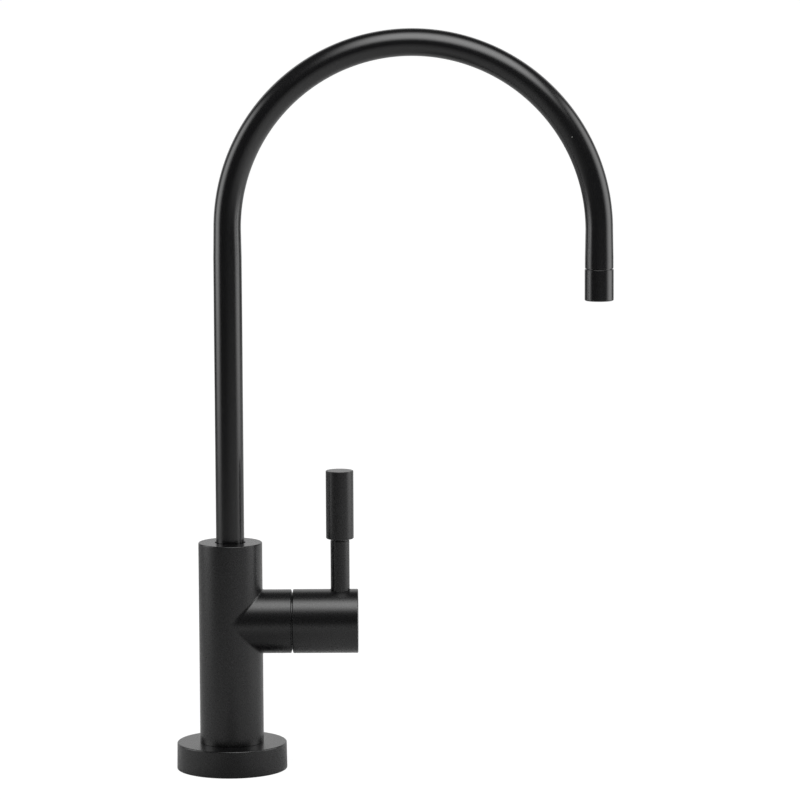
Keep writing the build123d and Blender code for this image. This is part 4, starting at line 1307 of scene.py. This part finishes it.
root_r = THREAD_R - THREAD_DEEP
flank = (PITCH - CREST_FLAT - ROOT_FLAT) / 2
wound_from = shank_low.z - 2 * PITCH
turns = int((SHOULDER_Z - wound_from) / PITCH) + 2
bpy.ops.object.select_all(action="DESELECT")
bpy.ops.mesh.primitive_plane_add(size=MM)
thread = bpy.context.object
thread.name = "shank_thread"
edit_all()
bpy.ops.mesh.merge(type="CENTER")
bpy.ops.transform.translate(value=(root_r * MM, 0, wound_from * MM))
for out, up in ((0, ROOT_FLAT), (THREAD_DEEP, flank), (0, CREST_FLAT), (-THREAD_DEEP, flank)):
    bpy.ops.mesh.extrude_vertices_move(TRANSFORM_OT_translate={"value": (out * MM, 0, up * MM)})
bpy.ops.object.mode_set(mode="OBJECT")
print("one tooth of", len(thread.data.vertices), "points,", turns, "turns")

# %% Wind and cut the thread
winding = thread.modifiers.new("winding", "SCREW")
winding.axis = "Z"
winding.screw_offset = PITCH * MM
winding.iterations = turns
winding.steps = THREAD_SIDES
winding.render_steps = THREAD_SIDES
apply_last(thread)
edit_all()
bpy.ops.mesh.remove_doubles(threshold=MERGE)
for end_z, outward in ((shank_low.z - PITCH / 2, -1), (SHOULDER_Z + PITCH / 2, 1)):
    bpy.ops.mesh.select_all(action="SELECT")
    at = (0, 0, end_z * MM)
    bpy.ops.mesh.bisect(plane_co=at, plane_no=(0, 0, outward), use_fill=True, clear_outer=True)
bpy.ops.mesh.select_all(action="SELECT")
bpy.ops.mesh.normals_make_consistent(inside=False)
bpy.ops.object.mode_set(mode="OBJECT")
combine(thread, turned("blank", [
    (SHANK_BORE_R, shank_low.z),
    (root_r - BLANK_SPARE, shank_low.z),
    (THREAD_R + BLANK_SPARE, shank_low.z + THREAD_LEAD),
    (THREAD_R + BLANK_SPARE, SHOULDER_Z + BLANK_SPARE),
    (SHANK_BORE_R, SHOULDER_Z + BLANK_SPARE),
], SMALL_SIDES, ring=True), "INTERSECT")
combine(thread, turned("plain_end", [
    (SHANK_BORE_R, SHOULDER_Z),
    (shank_high.y, SHOULDER_Z),
    (shank_high.y, shank_high.z),
    (SHANK_BORE_R, shank_high.z),
], SMALL_SIDES, ring=True), "UNION")
finish_piece(thread, "shank")

# %% [markdown]
# ## Clamp under the worktop
#
# A rubber pad and a pressed steel plate spread the nut's force. Both could be discs with a hole
# cut in them, but a ring of four steps needs no cut. Their edges are round: widely on the
# moulded pad, a little on the tumbled plate.

# %% Pad and plate
HOLE_GAP = 0.35

hole_r = THREAD_R + HOLE_GAP
for node, name, edge in (("worktop_pad", "rubber_pad", 0.6), ("clamp_plate", "pressed_plate", 0.3)):
    low, high = box_mm(node)
    steps = [(hole_r, low.z), (high.x, low.z), (high.x, high.z), (hole_r, high.z)]
    piece = turned(name, steps, BAR_SIDES, ring=True)
    finish_piece(round_edges(piece, edge), node)

# %% [markdown]
# ## Nut and inlet body
#
# The nut is cut from hexagon bar: its corners are rounded as drawn bar is, then turned off at
# the ends. The inlet body is moulded to the same shape, in one with a round collar. A hexagon
# with bevelled corners alone would look cut from sheet. Here the bar is kept only where it meets
# a turned blank, which gives the curved edges of a real nut, and the bore as well.

# %% Hexagon pieces
CORNER_EDGE = 0.3
END_EDGE = 0.15
BORE_EDGE = 0.4


def hexagon(name, flats, foot_z, top_z, bore_r):
    """A hexagon bar, flats apart, with a bore, its corners turned off at both ends as on a nut."""
    flat = flats / 2
    corner = flat / cos(radians(30))
    drop = (corner - flat) * tan(radians(30))
    bar = turned(name, [(corner, foot_z - SPARE), (corner, top_z + SPARE)], 6)
    put(bar, Matrix.Rotation(radians(30), 4, "Z"))
    round_edges(bar, CORNER_EDGE, lambda middle: foot_z < middle.z < top_z)
    keep = turned(f"{name}_blank", [
        (bore_r + BORE_EDGE, foot_z),
        (flat, foot_z),
        (corner, foot_z + drop),
        (corner, top_z - drop),
        (flat, top_z),
        (bore_r + BORE_EDGE, top_z),
        (bore_r, top_z - BORE_EDGE),
        (bore_r, foot_z + BORE_EDGE),
    ], SMALL_SIDES, ring=True)
    round_edges(keep, END_EDGE, lambda middle: middle.xy.length > flat - NEAR)
    return combine(bar, keep, "INTERSECT")


nut_r = THREAD_R + THREAD_GAP
nut_foot, nut_top = box_mm("lock_nut")
lock_nut = hexagon("shank_lock_nut", 2 * nut_top.y, nut_foot.z, nut_top.z, nut_r)
finish_piece(lock_nut, "lock_nut")

# %% Inlet body
INLET_FLATS = 17.0
INLET_HEX_H = 11.5
COLLAR_R = 8.2
COLLAR_EDGE = 0.4
WEB_H = 2.0
WEB_BORE_R = 2.3
GUIDE_H = 5.8
SUPPLY_R = 3.25

inlet_low, inlet_high = box_mm("inlet_adapter")
web_top = box_mm("inlet_washer")[0].z
web_foot = web_top - WEB_H
oring_high = box_mm("inlet_oring")[1]
spacer_high = box_mm("inlet_spacer")[1]
hex_foot = inlet_high.z - INLET_HEX_H
inlet = hexagon("inlet_body", INLET_FLATS, hex_foot, inlet_high.z, nut_r)
collar = turned("collar", [(COLLAR_R, inlet_low.z), (COLLAR_R, hex_foot + SPARE)], SMALL_SIDES)
round_edges(collar, COLLAR_EDGE, ring_at(inlet_low.z), TOP_STEPS)
combine(inlet, collar, "UNION")
bore(inlet, "inlet_bore", [
    (spacer_high.x, inlet_low.z - SPARE),
    (spacer_high.x, spacer_high.z),
    (oring_high.x, spacer_high.z),
    (oring_high.x, web_foot - GUIDE_H),
    (SUPPLY_R, web_foot - GUIDE_H),
    (SUPPLY_R, web_foot),
    (WEB_BORE_R, web_foot),
    (WEB_BORE_R, web_top),
    (nut_r, web_top),
    (nut_r, hex_foot + 2 * SPARE),
], sides=SMALL_SIDES)
finish_piece(inlet, "inlet_adapter")

# %% [markdown]
# ## Small parts with eased edges
#
# The washer and the moulded cap and collet of the inlet have the right shape already, and only
# their edges are too sharp, so they aren't modelled anew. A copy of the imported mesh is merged,
# its flat faces are dissolved into one each, and its edges are rounded.

# %% Eased copies
FLAT_DEG = 1.0


def eased(node, name, width_mm):
    """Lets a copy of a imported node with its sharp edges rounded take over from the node."""
    copy = bpy.data.objects.new(name, nodes[node].data.copy())
    bpy.context.scene.collection.objects.link(copy)
    only(copy)
    bpy.ops.mesh.customdata_custom_splitnormals_clear()
    edit_all()
    bpy.ops.mesh.remove_doubles(threshold=MERGE)
    bpy.ops.mesh.dissolve_limited(angle_limit=radians(FLAT_DEG))
    bpy.ops.object.mode_set(mode="OBJECT")
    finish_piece(round_edges(copy, width_mm), node)


eased("spring_washer", "split_washer", 0.15)
eased("inlet_cap", "inlet_end_cap", 0.12)
eased("inlet_collet", "inlet_release_collet", 0.12)
